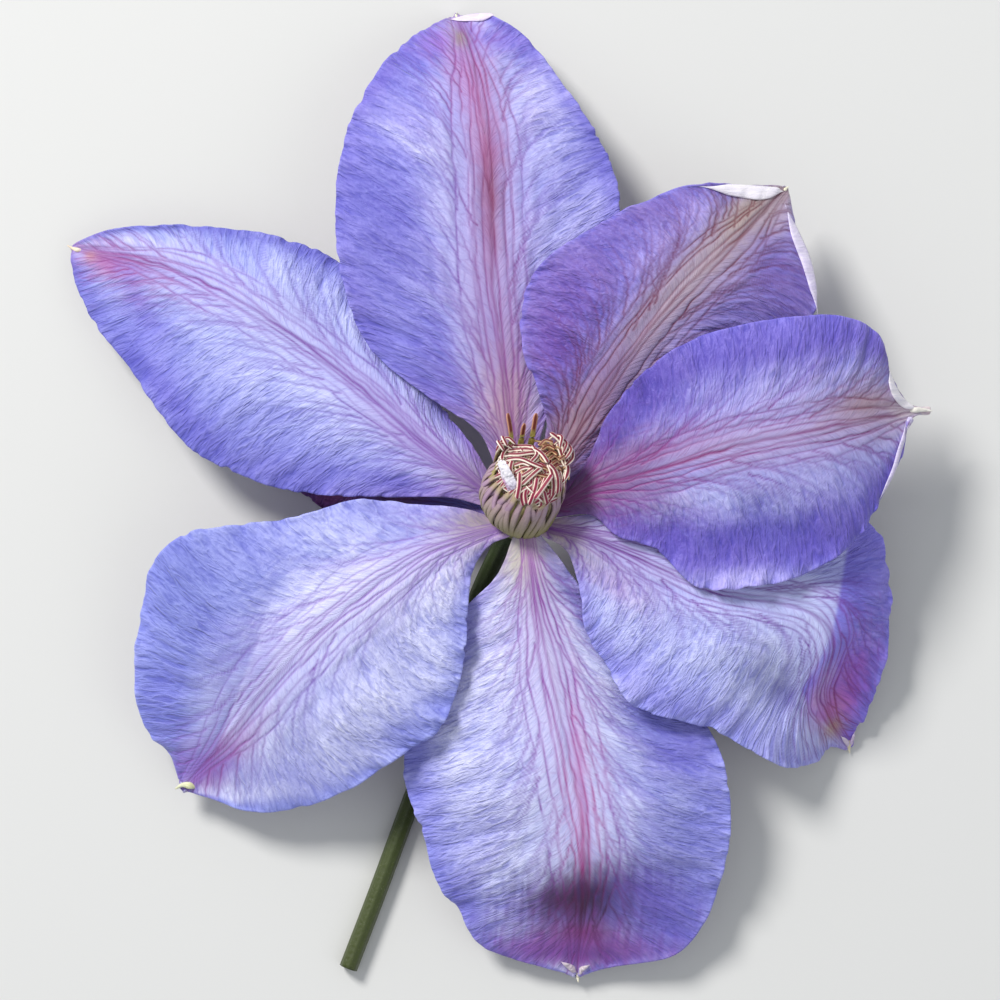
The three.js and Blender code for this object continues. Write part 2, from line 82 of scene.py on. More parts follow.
def colour(red, green, blue):
    """A colour as it is seen on a screen, 0 to 255, as the linear light a material takes."""
    seen = np.array([red, green, blue], float) / 255
    return np.where(seen <= 0.04045, seen / 12.92, ((seen + 0.055) / 1.055) ** 2.4)


def make_mesh(name, points, faces, tints=None):
    """A mesh object at the origin, with a colour for every point where tints are given."""
    mesh = bpy.data.meshes.new(name)
    mesh.from_pydata(place(points).tolist(), [], faces)
    mesh.polygons.foreach_set("use_smooth", np.ones(len(mesh.polygons), bool))
    if tints is not None:
        tints = np.asarray(tints, float).reshape(-1, 3)
        tint = mesh.color_attributes.new("tint", "FLOAT_COLOR", "POINT")
        tint.data.foreach_set("color", np.column_stack([tints, np.ones(len(tints))]).ravel())
    mesh.validate()
    mesh.update()
    piece = bpy.data.objects.new(name, mesh)
    bpy.context.scene.collection.objects.link(piece)
    return piece


def tube_faces(rings, sides, first=0, capped=True):
    """Faces that join rings of points into a closed tube."""
    faces = []
    for ring in range(rings - 1):
        for side in range(sides):
            a = first + ring * sides + side
            b = first + ring * sides + (side + 1) % sides
            faces.append((a, b, b + sides, a + sides))
    if capped:
        faces.append(tuple(first + side for side in reversed(range(sides))))
        faces.append(tuple(first + (rings - 1) * sides + side for side in range(sides)))
    return faces


def join_tubes(name, tubes):
    """One mesh of closed tubes, each given as its rings of points and its tint or tints."""
    points, faces, tints = [], [], []
    for rings, tint in tubes:
        faces += tube_faces(*rings.shape[:2], first=sum(map(len, points)))
        points.append(rings.reshape(-1, 3))
        tints.append((tint * np.ones(rings.shape)).reshape(-1, 3))
    return make_mesh(name, np.concatenate(points), faces, np.concatenate(tints))


def turned(profile, sides, ribbed=1.0):
    """Rings of points about the receptacle's axis, one to a place (out, up) of a profile."""
    around = np.arange(sides) * 360 / sides
    return np.stack([cup_point(max(out, NEARLY_NOTHING) * ribbed, around, up) for out, up in profile])


def put_on_flower(piece, node, material):
    """Gives a finished piece its material, hangs it on the root body, and hides the imported part that it
    takes the place of.
    """
    piece.data.materials.clear()
    piece.data.materials.append(material)
    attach(piece, "root")
    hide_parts(node)


def plain_material(name):
    """A new material, with its nodes, its links and its shader."""
    material = bpy.data.materials.new(name)
    material.use_nodes = True
    nodes = material.node_tree.nodes
    return material, nodes, material.node_tree.links, nodes["Principled BSDF"]


def new_group(name, kind, sockets, outputs):
    """A node group with named inputs, each (name, kind, value), and named outputs."""
    group = bpy.data.node_groups.new(name, kind)
    for label, holds, value in sockets:
        socket = group.interface.new_socket(label, in_out="INPUT", socket_type="NodeSocket" + holds)
        if value is not None:
            socket.default_value = value
    for label, holds in outputs:
        group.interface.new_socket(label, in_out="OUTPUT", socket_type="NodeSocket" + holds)
    into, out = (group.nodes.new(end) for end in ("NodeGroupInput", "NodeGroupOutput"))
    return group, group.nodes, group.links, into.outputs, out.inputs


def math_node(nodes, links, operation, first, second, clamp=False):
    """Works out one step of a sum. Each of its two terms is a number or another node's output."""
    node = nodes.new("ShaderNodeMath")
    node.operation = operation
    node.use_clamp = clamp
    for socket, value in zip(node.inputs, (first, second)):
        if isinstance(value, (int, float)):
            socket.default_value = value
        else:
            links.new(value, socket)
    return node.outputs[0]


def tissue_grain_group():
    """The grain of soft tissue: cells a little lighter and darker, glossier and duller, higher and lower."""
    group, nodes, links, given, result = new_group(
        "tissue_grain", "ShaderNodeTree",
        [("Place", "Vector", (0, 0, 0)), ("Tint", "Color", (1, 1, 1, 1)), ("Scale", "Float", 2000),
         ("Mottle", "Float", MOTTLE), ("Roughness", "Float", 0.5)],
        [("Color", "Color"), ("Roughness", "Float"), ("Height", "Float")])
    cells = nodes.new("ShaderNodeTexNoise")
    cells.inputs["Detail"].default_value = 4
    links.new(given["Place"], cells.inputs["Vector"])
    links.new(given["Scale"], cells.inputs["Scale"])
    around_middle = math_node(nodes, links, "SUBTRACT", cells.outputs["Fac"], 0.5)
    lighter = math_node(nodes, links, "MULTIPLY", around_middle, given["Mottle"])
    shade = nodes.new("ShaderNodeVectorMath")
    shade.operation = "SCALE"
    links.new(given["Tint"], shade.inputs[0])
    links.new(math_node(nodes, links, "ADD", lighter, 1.0), shade.inputs["Scale"])
    duller = math_node(nodes, links, "MULTIPLY", around_middle, 0.2)
    links.new(shade.outputs["Vector"], result["Color"])
    links.new(math_node(nodes, links, "ADD", duller, given["Roughness"]), result["Roughness"])
    links.new(cells.outputs["Fac"], result["Height"])
    return group


tissue_grain = tissue_grain_group()


def surface_from(group, nodes, links, shader, depth):
    """Places an effect in a material: colour, gloss, and its height as relief of a depth in metres."""
    effect = nodes.new("ShaderNodeGroup")
    effect.node_tree = group
    relief = nodes.new("ShaderNodeBump")
    relief.inputs["Strength"].default_value = 1.0
    relief.inputs["Distance"].default_value = depth
    links.new(effect.outputs["Height"], relief.inputs["Height"])
    links.new(effect.outputs["Color"], shader.inputs["Base Color"])
    links.new(effect.outputs["Roughness"], shader.inputs["Roughness"])
    links.new(relief.outputs["Normal"], shader.inputs["Normal"])
    return effect


def plant_material(name, roughness, depth, grain, sheen=0.15):
    """Soft plant tissue in the piece's own tints, with a fine grain in its surface."""
    material, nodes, links, shader = plain_material(name)
    shader.inputs["Sheen Weight"].default_value = sheen
    effect = surface_from(tissue_grain, nodes, links, shader, depth)
    effect.inputs["Scale"].default_value = grain
    effect.inputs["Roughness"].default_value = roughness
    place_on = nodes.new("ShaderNodeTexCoord")
    links.new(place_on.outputs["Object"], effect.inputs["Place"])
    tint = nodes.new("ShaderNodeAttribute")
    tint.attribute_name = "tint"
    links.new(tint.outputs["Color"], effect.inputs["Tint"])
    return material


cup_ribs = 1 + 0.02 * np.cos(np.radians(CUP_RIBS * np.arange(CUP_SIDES) * 360 / CUP_SIDES))
receptacle = join_tubes("receptacle", [(turned(CUP_PROFILE, CUP_SIDES, cup_ribs), colour(*CUP_GREEN))])
put_on_flower(receptacle, "stalk",
              plant_material("receptacle_skin", roughness=0.6, depth=0.00012, grain=2600))


# ---------------------------------------------------------------------------------------------- stalk
# The stalk is round and green, as thick as a knitting needle, with shallow ribs and short soft hairs.
# It bends away under the flower and lies along the surface up to the cut. The hairs are scattered over it.

STALK_RADIUS = 1.5
STALK_ROUTE = [(-3, -5.8, 10), (-4.9, -9.4, 6.6), (-7.4, -15, 3.8), (-10.4, -24, 1.8),
               (-14.4, -38, 1.42), (-19.6, -52, 1.42), (-24.4, -65, 1.42), (-29.4, -78, 1.42)]
STALK_RINGS, STALK_SIDES = 200, 40
STALK_RIBS = 8
# Painted darker than the stalk's own green, as the shade that the tepals cast on it.
STALK_SHADED_GREEN = (52, 72, 12)
STALK_BROWN = (78, 66, 30)          # towards the cut
STALK_HAIRS = 2600 / 0.00075        # to a square metre: 2600 on the skin of this stalk


def guide_curve(points):
    """A smooth curve through points, as a function that takes u from 0 to 1."""
    through = np.array(points, float)
    ends = np.vstack([2 * through[0] - through[1], through, 2 * through[-1] - through[-2]])
    gaps = np.maximum(np.sum(np.diff(ends, axis=0) ** 2, axis=1) ** 0.25, 1e-4)

    def at(u):
        along = np.asarray(u, float) * (len(through) - 1)
        i = np.minimum(along.astype(int), len(through) - 2)
        w = (along - i)[..., None]
        before, start, end, after = (ends[i + k] for k in range(4))
        g0, g1, g2 = (gaps[i + k][..., None] for k in range(3))
        leave = ((start - before) / g0 - (end - before) / (g0 + g1) + (end - start) / g1) * g1
        arrive = ((end - start) / g1 - (after - start) / (g1 + g2) + (after - end) / g2) * g1
        return (start + leave * w + (3 * end - 3 * start - 2 * leave - arrive) * w ** 2
                + (2 * start - 2 * end + leave + arrive) * w ** 3)
    return at


def unit(vectors):
    """Vectors made one long."""
    return vectors / np.maximum(np.linalg.norm(vectors, axis=-1, keepdims=True), 1e-9)


def full_turn(sides):
    """The angles of the sides of a ring, in radians."""
    return np.linspace(0, 2 * math.pi, sides, endpoint=False)


def rod(path, radius, sides, level=(0.0, 0.0, 1.0), flat=1.0):
    """Rings of a rod along a path, with a radius for every ring and side. flat squeezes its height."""
    along = unit(np.gradient(path, axis=0))
    side = unit(np.cross(along, level))
    turn = full_turn(sides)
    return (path[:, None] + (radius * np.cos(turn))[..., None] * side[:, None]
            + (flat * radius * np.sin(turn))[..., None] * np.cross(side, along)[:, None])


stalk_path = guide_curve([cup_point(0, 0, -4)] + STALK_ROUTE)(np.linspace(0, 1, STALK_RINGS))
stalk_ribs = np.cos(STALK_RIBS * full_turn(STALK_SIDES))[None, :]
stalk_points = rod(stalk_path, STALK_RADIUS * (1 + 0.035 * stalk_ribs), STALK_SIDES)
stalk_points[..., 2] = np.maximum(stalk_points[..., 2], NEARLY_NOTHING)
browning = 0.25 * np.linspace(0, 1, STALK_RINGS)[:, None, None]
stalk_tints = (colour(*STALK_SHADED_GREEN) * (1 - browning) + colour(*STALK_BROWN) * browning
               + 0.008 * stalk_ribs[..., None])
stalk = join_tubes("stalk_skin", [(stalk_points, stalk_tints)])
put_on_flower(stalk, "stalk",
              plant_material("stalk_skin", roughness=0.5, depth=0.0001, grain=1800))


def hair_tree():
    """Geometry Nodes that scatter short tapered hairs over a surface, each leaning its own way."""
    tree, nodes, links, given, result = new_group(
        "soft_hairs", "GeometryNodeTree",
        [("Geometry", "Geometry", None), ("Hairs", "Float", 4e6), ("Length", "Float", 0.0007),
         ("Thickness", "Float", 0.00003), ("Seed", "Int", 3), ("Material", "Material", None)],
        [("Geometry", "Geometry")])
    scatter = nodes.new("GeometryNodeDistributePointsOnFaces")
    hair = nodes.new("GeometryNodeMeshCone")
    hair.inputs["Vertices"].default_value = 4
    hair.inputs["Radius Top"].default_value = 0.000004
    lean = nodes.new("FunctionNodeRandomValue")
    lean.data_type = "FLOAT_VECTOR"
    lean.inputs["Min"].default_value = (-0.5, -0.5, 0)
    lean.inputs["Max"].default_value = (0.5, 0.5, 6.28)
    turn_hair = nodes.new("FunctionNodeRotateRotation")
    turn_hair.rotation_space = "LOCAL"
    sizes = nodes.new("FunctionNodeRandomValue")
    sizes.inputs[2].default_value = 0.5      # the shortest hair, as a share of Length
    sizes.inputs[3].default_value = 1.2      # the longest
    put = nodes.new("GeometryNodeInstanceOnPoints")
    real = nodes.new("GeometryNodeRealizeInstances")
    finish = nodes.new("GeometryNodeSetMaterial")
    for source, socket in (
            (given["Geometry"], scatter.inputs["Mesh"]), (given["Hairs"], scatter.inputs["Density"]),
            (given["Seed"], scatter.inputs["Seed"]), (given["Length"], hair.inputs["Depth"]),
            (given["Thickness"], hair.inputs["Radius Bottom"]),
            (scatter.outputs["Rotation"], turn_hair.inputs["Rotation"]),
            (lean.outputs["Value"], turn_hair.inputs["Rotate By"]),
            (scatter.outputs["Points"], put.inputs["Points"]), (hair.outputs["Mesh"], put.inputs["Instance"]),
            (turn_hair.outputs["Rotation"], put.inputs["Rotation"]), (sizes.outputs[1], put.inputs["Scale"]),
            (put.outputs["Instances"], real.inputs["Geometry"]),
            (real.outputs["Geometry"], finish.inputs["Geometry"]),
            (given["Material"], finish.inputs["Material"]), (finish.outputs["Geometry"], result["Geometry"])):
        links.new(source, socket)
    return tree


def grow_hairs(name, skin, tree, values):
    """Runs the hair tree on a copy of a piece, and keeps the hairs as a plain mesh."""
    bed = bpy.data.objects.new(name + "_bed", skin.data)
    bpy.context.scene.collection.objects.link(bed)
    growth = bed.modifiers.new("hairs", "NODES")
    growth.node_group = tree
    for item in tree.interface.items_tree:
        if item.in_out == "INPUT" and item.name in values:
            growth[item.identifier] = values[item.name]
    bpy.context.view_layer.update()
    grown = bed.evaluated_get(bpy.context.evaluated_depsgraph_get())
    mesh = bpy.data.meshes.new_from_object(grown)
    bed.modifiers.remove(growth)
    bpy.data.objects.remove(bed)
    coat = bpy.data.objects.new(name, mesh)
    bpy.context.scene.collection.objects.link(coat)
    return coat


def hair_material(name, tone):
    """Pale silky hairs, a little lighter and darker in patches."""
    material, nodes, links, shader = plain_material(name)
    shader.inputs["Roughness"].default_value = 0.45
    place_on = nodes.new("ShaderNodeTexCoord")
    patches = nodes.new("ShaderNodeTexNoise")
    patches.inputs["Scale"].default_value = 500
    tones = nodes.new("ShaderNodeValToRGB")
    tones.color_ramp.elements[0].color = (*(tone * 0.7), 1)
    tones.color_ramp.elements[1].color = (*np.minimum(tone * 1.2, 1), 1)
    links.new(place_on.outputs["Object"], patches.inputs["Vector"])
    links.new(patches.outputs["Fac"], tones.inputs["Fac"])
    links.new(tones.outputs["Color"], shader.inputs["Base Color"])
    return material


hairs = hair_tree()
stalk_down = hair_material("stalk_down", colour(200, 205, 170))
stalk_hairs = grow_hairs("stalk_hairs", stalk, hairs, {
    "Hairs": STALK_HAIRS, "Length": 0.00075, "Thickness": 0.00003, "Seed": 5, "Material": stalk_down})
put_on_flower(stalk_hairs, "stalk", stalk_down)


# ---------------------------------------------------------------------------------------------- top tepal
# A tepal is one thin blade of soft tissue that grows from the cup by a narrow claw, where its ribs and veins
# fan out. The blade is lofted between a rib and two margins and wrinkled along its veins. Its very edge rolls
# over, and it ends in a small pale horn.

BLADE = 0.42              # thickness, less at the margins
THINNEST = 0.1            # the least that a blade keeps where it lies on the floor
BLADE_OFF_FLOOR = 0.03
CLAW_GAP = 0.55           # between the claw and the cup, where the claw's width is measured
TEPAL_ROWS, TEPAL_COLUMNS = 276, 153
EDGE_COLUMNS = 8          # in the strip that rolls over at each margin
EDGE_ROLL = 0.3           # how wide that strip is
EDGE_BEND = -2.6          # how tightly it rolls under, in radians to a millimetre
MAIN_RIBS = (-3, -2, -1.25, -0.55, 0, 0.55, 1.25, 2, 3)
RIB_STEP, VEIN_STEP = 0.7, 0.5
VEIN_OPENING = math.radians(24)     # between a side vein and the rib that it leaves
VEIN_HALO = 0.7                     # how far from a vein its tint can reach
VEIN_TURNS = 0.16         # of the way to the course it takes next, at each step
VEIN_FADES = 0.9885       # at each step
FAINTEST_VEIN = 0.1
VEIN_GROOVE = 0.06
PUCKER_RISE = 0.6         # how steeply the fine wrinkles climb before they turn out to the margin
# Painted light and shade on the puckers: a ridge is painted lighter, a hollow darker and bluer.
RIDGE_PAINTED_LIGHT = (0.16, 0.15, 0.05)     # how much lighter a ridge is than the tissue, in red, green and blue
SPUR_RINGS, SPUR_SIDES = 20, 12
FOLD_RINGS, FOLD_SIDES = 60, 10
FOLD_RISE = 0.32          # half the height of a folded rim
NOISE_CELLS = 97

# What most tepals have in common. Left and right are as seen going out to the tip. For each tepal:
#   azimuth, claw, drop: where its claw stands round the cup in degrees, how wide it is, and how far down
#   flare, crease: how much the sides level out at the margins, and how sharply the blade folds on its rib
#   bar, bar_depth: how wide the coloured bar on the rib is, and how deep its tint is from claw to tip
#   field: where the pale field beside the bar goes over into the side tint, on the left and on the right
#   waves: ripples of the left and of the right margin (height, number, phase)
#   swells: bulges and hollows (x, y, radius, height)
#   lips: margins that curl more (side, start, end, width, radius)
#   folds: rims folded forward (tint, places on the outer and the inner edge)
#   blushes_and_painted_light, stains: soft spots of colour, on the tissue and in the veins; the first also
#       holds painted highlights and painted shade (x, y, half length, half width, degrees, tint, depth)
#   painted_shades: painted shade to the left of a line (tint, depth, how far it fades, line)
#   stations: from claw to tip, a place on the rib, on the left margin and on the right margin
PLAIN_TEPAL = dict(drop=1, crease=0, waves=[], swells=[], lips=[], folds=[], stains=[], painted_shades=[])


def patchy(x, y, seed):
    """Smooth noise from -1 to 1 over a plane, about one bump to a unit."""
    lattice = np.random.default_rng(seed).uniform(-1, 1, (NOISE_CELLS, NOISE_CELLS))
    x, y = np.broadcast_arrays(np.asarray(x, float) + 500, np.asarray(y, float) + 500)
    i, j = np.floor(x).astype(int), np.floor(y).astype(int)
    p, q = (w * w * w * (w * (w * 6 - 15) + 10) for w in (x - i, y - j))
    i0, i1, j0, j1 = (k % NOISE_CELLS for k in (i, i + 1, j, j + 1))
    return ((lattice[i0, j0] * (1 - p) + lattice[i1, j0] * p) * (1 - q)
            + (lattice[i0, j1] * (1 - p) + lattice[i1, j1] * p) * q)


def ease(x, start, end):
    """Rises smoothly from 0 at start to 1 at end."""
    w = np.clip((x - start) / (end - start), 0, 1)
    return w * w * (3 - 2 * w)


def mixed(under, over, share):
    """Goes from under to over as share goes from 0 to 1."""
    return under * (1 - share) + over * share


def blade_surface(tepal, u, t):
    """The middle surface, from claw (u 0) to tip (1) and from the right margin (t -1) to the left (1)."""
    half = math.degrees(tepal["claw"] / 2 / (CUP_RADIUS + CLAW_GAP))
    guides = []
    for side, turn in enumerate((0, half, -half)):
        root = cup_point(CUP_RADIUS - 0.1, tepal["azimuth"] + turn, -tepal["drop"])
        guides.append(guide_curve([root] + [row[side] for row in tepal["stations"]])(u)[:, None])
    rib, left, right = guides
    w = t[..., None]
    points = rib * (1 - w ** 2) + left * w * (w + 1) / 2 + right * w * (w - 1) / 2
    edge = np.where(w > 0, left, right)[..., 2]
    away = np.abs(t)
    rise = mixed(away ** 2, 3 * away ** 2 - 2 * away ** 3, tepal["flare"])
    crease = np.where(t > 0, tepal["crease"], tepal["crease"] * 0.4) * ease(u, 0.3, 0.5)[:, None]
    rise = rise + crease * (away - rise)
    z = rib[..., 2] + (edge - rib[..., 2]) * rise
    for sign, (height, number, phase) in zip((1, -1), tepal["waves"]):
        ripple = (height * away ** 3 * np.sin(math.pi * u)[:, None]
                  * np.sin(2 * math.pi * (number * u[:, None] + phase)))
        z = z + np.where(t * sign > 0, ripple, 0)
    for x, y, radius, lift in tepal["swells"]:
        z = z + lift * np.exp(-((points[..., 0] - x) ** 2 + (points[..., 1] - y) ** 2) / radius ** 2)
    points[..., 2] = z
    return points


def face_normals(points):
    """Which way the upper face looks at each point of a grid."""
    return unit(np.cross(np.gradient(points, axis=0), np.gradient(points, axis=1)))


def vein_paths(tepal, length, half_width):
    """The veins on the flattened blade: ribs that run to the tip, and side veins that leave them and fork.

    A path is a row of (across, along, width, strength). half_width(at, side) is how far off the margin is."""
    seed = tepal["seed"]
    rng = np.random.default_rng(seed)

    def fan(at):
        """Half the width of the fan of ribs."""
        opened, closed = ease(at / length, 0.0, 0.36), ease(at / length, 0.68, 1.0)
        return tepal["bar"] * (0.2 + 0.8 * opened) * (1 - 0.8 * closed)

    paths = []
    places = np.arange(0, length, RIB_STEP)
    to_tip = ease(places / length, 0.8, 1.0)
    for i, rib in enumerate(MAIN_RIBS):
        wander = 0.5 * patchy(places / 11, rib * 7.3, seed + i) + 0.22 * patchy(places / 2.4, rib, seed - i)
        wander = wander * ease(places / length, 0, 0.25) * (1 - 0.7 * to_tip)
        across = rib / 2.8 * fan(places) * rng.uniform(0.9, 1.1) + wander
        strong = rng.uniform(0.65, 1.0) * (1 - 0.06 * abs(rib)) * (1 - 0.45 * to_tip * (rib != 0))
        strong = strong * (1 + 0.35 * patchy(places / 5, rib, seed + 60))
        width = np.full(len(places), rng.uniform(0.19, 0.26) + 0.08 * (rib == 0))
        paths.append(np.column_stack([across, places, width, strong]))
    sprouts = []
    for side in (-1, 1):
        for start in np.arange(1.5, length * 0.96, tepal["vein_gap"] * 0.7):
            start = start + rng.uniform(-0.8, 0.8)
            out = fan(start) * rng.choice([0.45, 0.71, 1.07, 1.07])
            sprouts.append((side, out, start, math.radians(rng.uniform(14, 30)), rng.uniform(0.6, 1.0), 0))
    while sprouts:
        side, out, at, heading, strong, forks = sprouts.pop()
        path = []
        until_fork = rng.uniform(3.0, 6.0)
        outermost = math.radians(tepal["vein_turn"] + rng.uniform(-8, 8))
        phase = rng.uniform(0, 60)
        while strong > FAINTEST_VEIN and 0 < at < length and out < half_width(at, side) * 0.98:
            path.append((side * out, at, 0.22 - 0.02 * forks, strong))
            past = (out - fan(at)) / max(half_width(at, side) - fan(at), 1)
            aim = VEIN_OPENING + (outermost - VEIN_OPENING) * min(max(past * 2, 0), 1) ** 0.7
            heading += (aim - heading) * VEIN_TURNS
            wobble = 15 * math.sin((at + out) * 2.1 + phase) + rng.normal(0, 5)
            bearing = heading + math.radians(wobble)
            out += VEIN_STEP * math.sin(bearing)
            at += VEIN_STEP * math.cos(bearing)
            strong *= VEIN_FADES
            until_fork -= VEIN_STEP
            if until_fork < 0 and forks < 3:
                turn = math.radians(rng.uniform(24, 42)) * rng.choice([-1, 1])
                sprouts.append((side, out, at, heading + turn, strong * rng.uniform(0.65, 0.95), forks + 1))
                strong *= 0.92
                forks += 0.4
                until_fork = rng.uniform(2.5, 6.0)
        if len(path) > 4:
            paths.append(np.array(path[::2]))
    return paths


def vein_net(paths, along, across):
    """How strongly a vein shows at each point of a grid of places along and across the blade."""
    strength = np.zeros_like(across)
    rows = along[:, 0]
    for path in paths:
        for (x0, y0, width, strong), (x1, y1, _, _) in zip(path[:-1], path[1:]):
            i, j = np.searchsorted(rows, (min(y0, y1) - VEIN_HALO, max(y0, y1) + VEIN_HALO))
            if j <= i:
                continue
            low, high = min(x0, x1) - 2 * VEIN_HALO, max(x0, x1) + 2 * VEIN_HALO      # as rows vary in width
            k, m = np.searchsorted(across[(i + j) // 2], (low, high))
            off, _ = off_line(across[i:j, k:m], along[i:j], x0, y0, x1, y1)
            strength[i:j, k:m] = np.maximum(strength[i:j, k:m], strong * np.exp(-off ** 2 / width ** 2))
    return strength


def off_line(x, y, x0, y0, x1, y1):
    """How far places lie from one straight piece of a line, and on which side: 1 is left, -1 is right."""
    x, y, dx, dy = x - x0, y - y0, x1 - x0, y1 - y0
    share = np.clip((x * dx + y * dy) / (dx * dx + dy * dy + 1e-9), 0, 1)
    return np.hypot(x - share * dx, y - share * dy), np.sign(dx * y - dy * x)


def paint(tepal, points, u, along, across, reach):
    """The tints of the face and its veins: a bar on the rib, a pale field beside it, stronger outside, and
    painted shade and highlights.
    """
    tones = {key: colour(*value) for key, value in tepal["tones"].items()}
    cloud = patchy(points[..., 0] / 7, points[..., 1] / 7, tepal["seed"] + 3) * 0.12
    left_field, right_field = (ease(reach + cloud, *edges) for edges in tepal["field"])
    tint = mixed(tones["pale"], tones["side"], np.where(across > 0, left_field, right_field)[..., None])
    tint = mixed(tint, tones["margin"], ease(reach + cloud * 0.5, 0.72, 1.0)[..., None])
    width = tepal["bar"] * (0.3 + 0.7 * ease(u, 0, 0.35)) * (1 - 0.55 * ease(u, 0.75, 1))
    bar = np.exp(-(np.abs(across) / width[:, None]) ** 2.4) * np.interp(u, *zip(*tepal["bar_depth"]))[:, None]
    tint = mixed(tint, tones["bar"], bar[..., None])
    tint = mixed(tint, tones["claw"], 0.75 * np.exp(-u / 0.1)[:, None, None])
    # Painted shade beside a line, where the face turns from the light: darkest just left of it, fading
    # further on.
    for hue, depth, fade, line in tepal["painted_shades"]:
        off = beside(points, line)
        shade = ease(off, -0.3, 0.6) * np.exp(-np.maximum(off, 0) / fade) * depth
        tint = mixed(tint, colour(*hue), shade[..., None])
    grain = patchy(across / 0.42, along / 5, tepal["seed"] + 9)
    inner = np.exp(-(np.abs(across) / tepal["bar"] / 1.6) ** 2)[..., None]
    vein_tint = mixed(tones["outer_vein"], tones["vein"], inner)
    return spotted(tint, points, grain, tepal["blushes_and_painted_light"]), spotted(vein_tint, points, grain, tepal["stains"])


def beside(points, line):
    """How far each point lies to the left of a line of places, going along it. To its right is below 0."""
    nearest = np.full(points.shape[:-1], 1e6)
    for start, end in zip(line[:-1], line[1:]):
        off, side = off_line(points[..., 0], points[..., 1], *start, *end)
        nearest = np.where(off < np.abs(nearest), off * side, nearest)
    return nearest


def spotted(tint, points, grain, spots):
    """Lays soft oval spots of colour over a tint, frayed along the veins by the grain."""
    for x, y, long_way, short_way, angle, hue, depth in spots:
        dx, dy = points[..., 0] - x, points[..., 1] - y
        turn = math.radians(angle)
        p = (dx * math.cos(turn) + dy * math.sin(turn)) / long_way
        q = (-dx * math.sin(turn) + dy * math.cos(turn)) / short_way
        fray = np.maximum(1 + 0.35 * patchy(dx / 1.3, dy / 1.3, 77) + 0.3 * grain, 0.2)
        tint = mixed(tint, colour(*hue), (np.exp(-(p * p + q * q) * fray) * depth)[..., None])
    return tint


def lay_on(places, blade):
    """Puts places, as seen from above, on the blade, at the height of its nearest points."""
    flat = blade.reshape(-1, 3)
    nearest = np.sum((places[:, None] - flat[None, :, :2]) ** 2, axis=-1).argmin(axis=1)
    heights = np.pad(flat[nearest, 2], 3, mode="edge")
    heights = np.convolve(heights, np.ones(7) / 7, mode="valid")      # evened out over seven places
    return np.column_stack([places, heights])


def spur(tepal, blade):
    """The small horn at the tip, as rings of points round a short bent path that starts in the blade."""
    s = np.linspace(0, 1, SPUR_RINGS)
    path = lay_on(guide_curve(tepal["spur"])(s), blade)
    path[:, 2] += tepal["spur_radius"] * (1.1 * ease(s, 0, 0.4) - 0.7)
    radius = tepal["spur_radius"] * (0.2 + 0.8 * ease(s, 0, 0.4)) * (1 - s ** 1.3 * 0.85)
    rings = rod(path, radius[:, None], SPUR_SIDES, flat=0.7)
    rings[..., 2] = np.maximum(rings[..., 2], NEARLY_NOTHING)
    return rings


def folded_rim(places, blade):
    """A margin folded forward: a flat loop from its outer to its inner edge, which shows the pale back."""
    s = np.linspace(0, 1, FOLD_RINGS)
    places = guide_curve(places)(s)
    outer, inner = lay_on(places[:, :2], blade), lay_on(places[:, 2:], blade)
    crumple = 0.12 * patchy(np.arange(FOLD_RINGS) / 4.2, 5, 31)
    slim = (0.1 + 0.9 * ease(np.minimum(s, s[::-1]), 0, 0.25))[:, None]
    loop = []
    for turn in full_turn(FOLD_SIDES)[::-1]:
        share = 0.5 + 0.5 * math.cos(turn)
        point = inner + (outer - inner) * (0.5 + (share - 0.5) * slim)
        point[:, 2] += (FOLD_RISE * math.sin(turn) + 0.26 + crumple * (1 - share)) * slim[:, 0]
        loop.append(point)
    return np.stack(loop, axis=1)


def puckers(tepal, u, t, along, across, lead):
    """How far the tissue stands off the plain blade. It puckers between its veins, most near the margins."""
    seed, deep = tepal["seed"], tepal["pucker"]
    reach = np.abs(t) * np.ones((len(u), 1))
    swell = np.sin(math.pi * u)[:, None]
    pucker = ease(reach, 0.12, 0.6) * np.sin(math.pi * np.clip(u * 1.02, 0, 1))[:, None] ** 0.5
    fold_along = lead + 0.5 * patchy(lead / 6, across / 6, seed + 25)
    relief = deep * pucker * (0.42 * patchy(fold_along / 2.4, across / 9, seed + 20)
                              + 0.22 * patchy(fold_along / 1.1, across / 5, seed + 21))
    relief += 0.5 * deep * patchy(lead / 7, across / 7, seed + 26) * ease(reach, 0.1, 0.5)
    relief += 0.14 * patchy(across / 1.4, along / 12, seed + 22) * (1 - ease(reach, 0.3, 0.7))
    relief += 0.5 * reach ** 9 * patchy(along / 2.6, t * 3, seed + 23) * swell
    relief += 0.35 * reach ** 18 * patchy(along / 1.0, t * 3, seed + 24) * swell
    return relief, pucker


def rolled_edge(tepal, side, points, normal, u, along):
    """A strip beyond a margin (1 left, -1 right) that rolls under, or forward where the tepal has a lip."""
    last, inside = (-1, -4) if side > 0 else (0, 3)
    edge = points[:, last]
    outward, over = unit(edge - points[:, inside]), unit(normal[:, last])
    length = np.full(len(u), EDGE_ROLL)
    bend = np.full(len(u), EDGE_BEND)
    for lip_side, start, end, wide, radius in tepal["lips"]:
        if lip_side == side:
            here = ease(u, start, start + 0.04) * (1 - ease(u, end - 0.03, end))
            crumple = 1 + 0.3 * patchy(along[:, 0] / 1.3, side * 3, tepal["seed"] + 30)
            length = mixed(length, wide * crumple, here)
            bend = mixed(bend, 1 / radius, here)
    step = (length / EDGE_COLUMNS)[:, None]
    strip = [edge]
    for k in range(EDGE_COLUMNS):
        turn = np.clip(bend * length * (k + 0.5) / EDGE_COLUMNS, -2.7, 2.8)[:, None]
        strip.append(strip[-1] + step * (np.cos(turn) * outward + np.sin(turn) * over))
    return np.stack(strip[1:], axis=1)


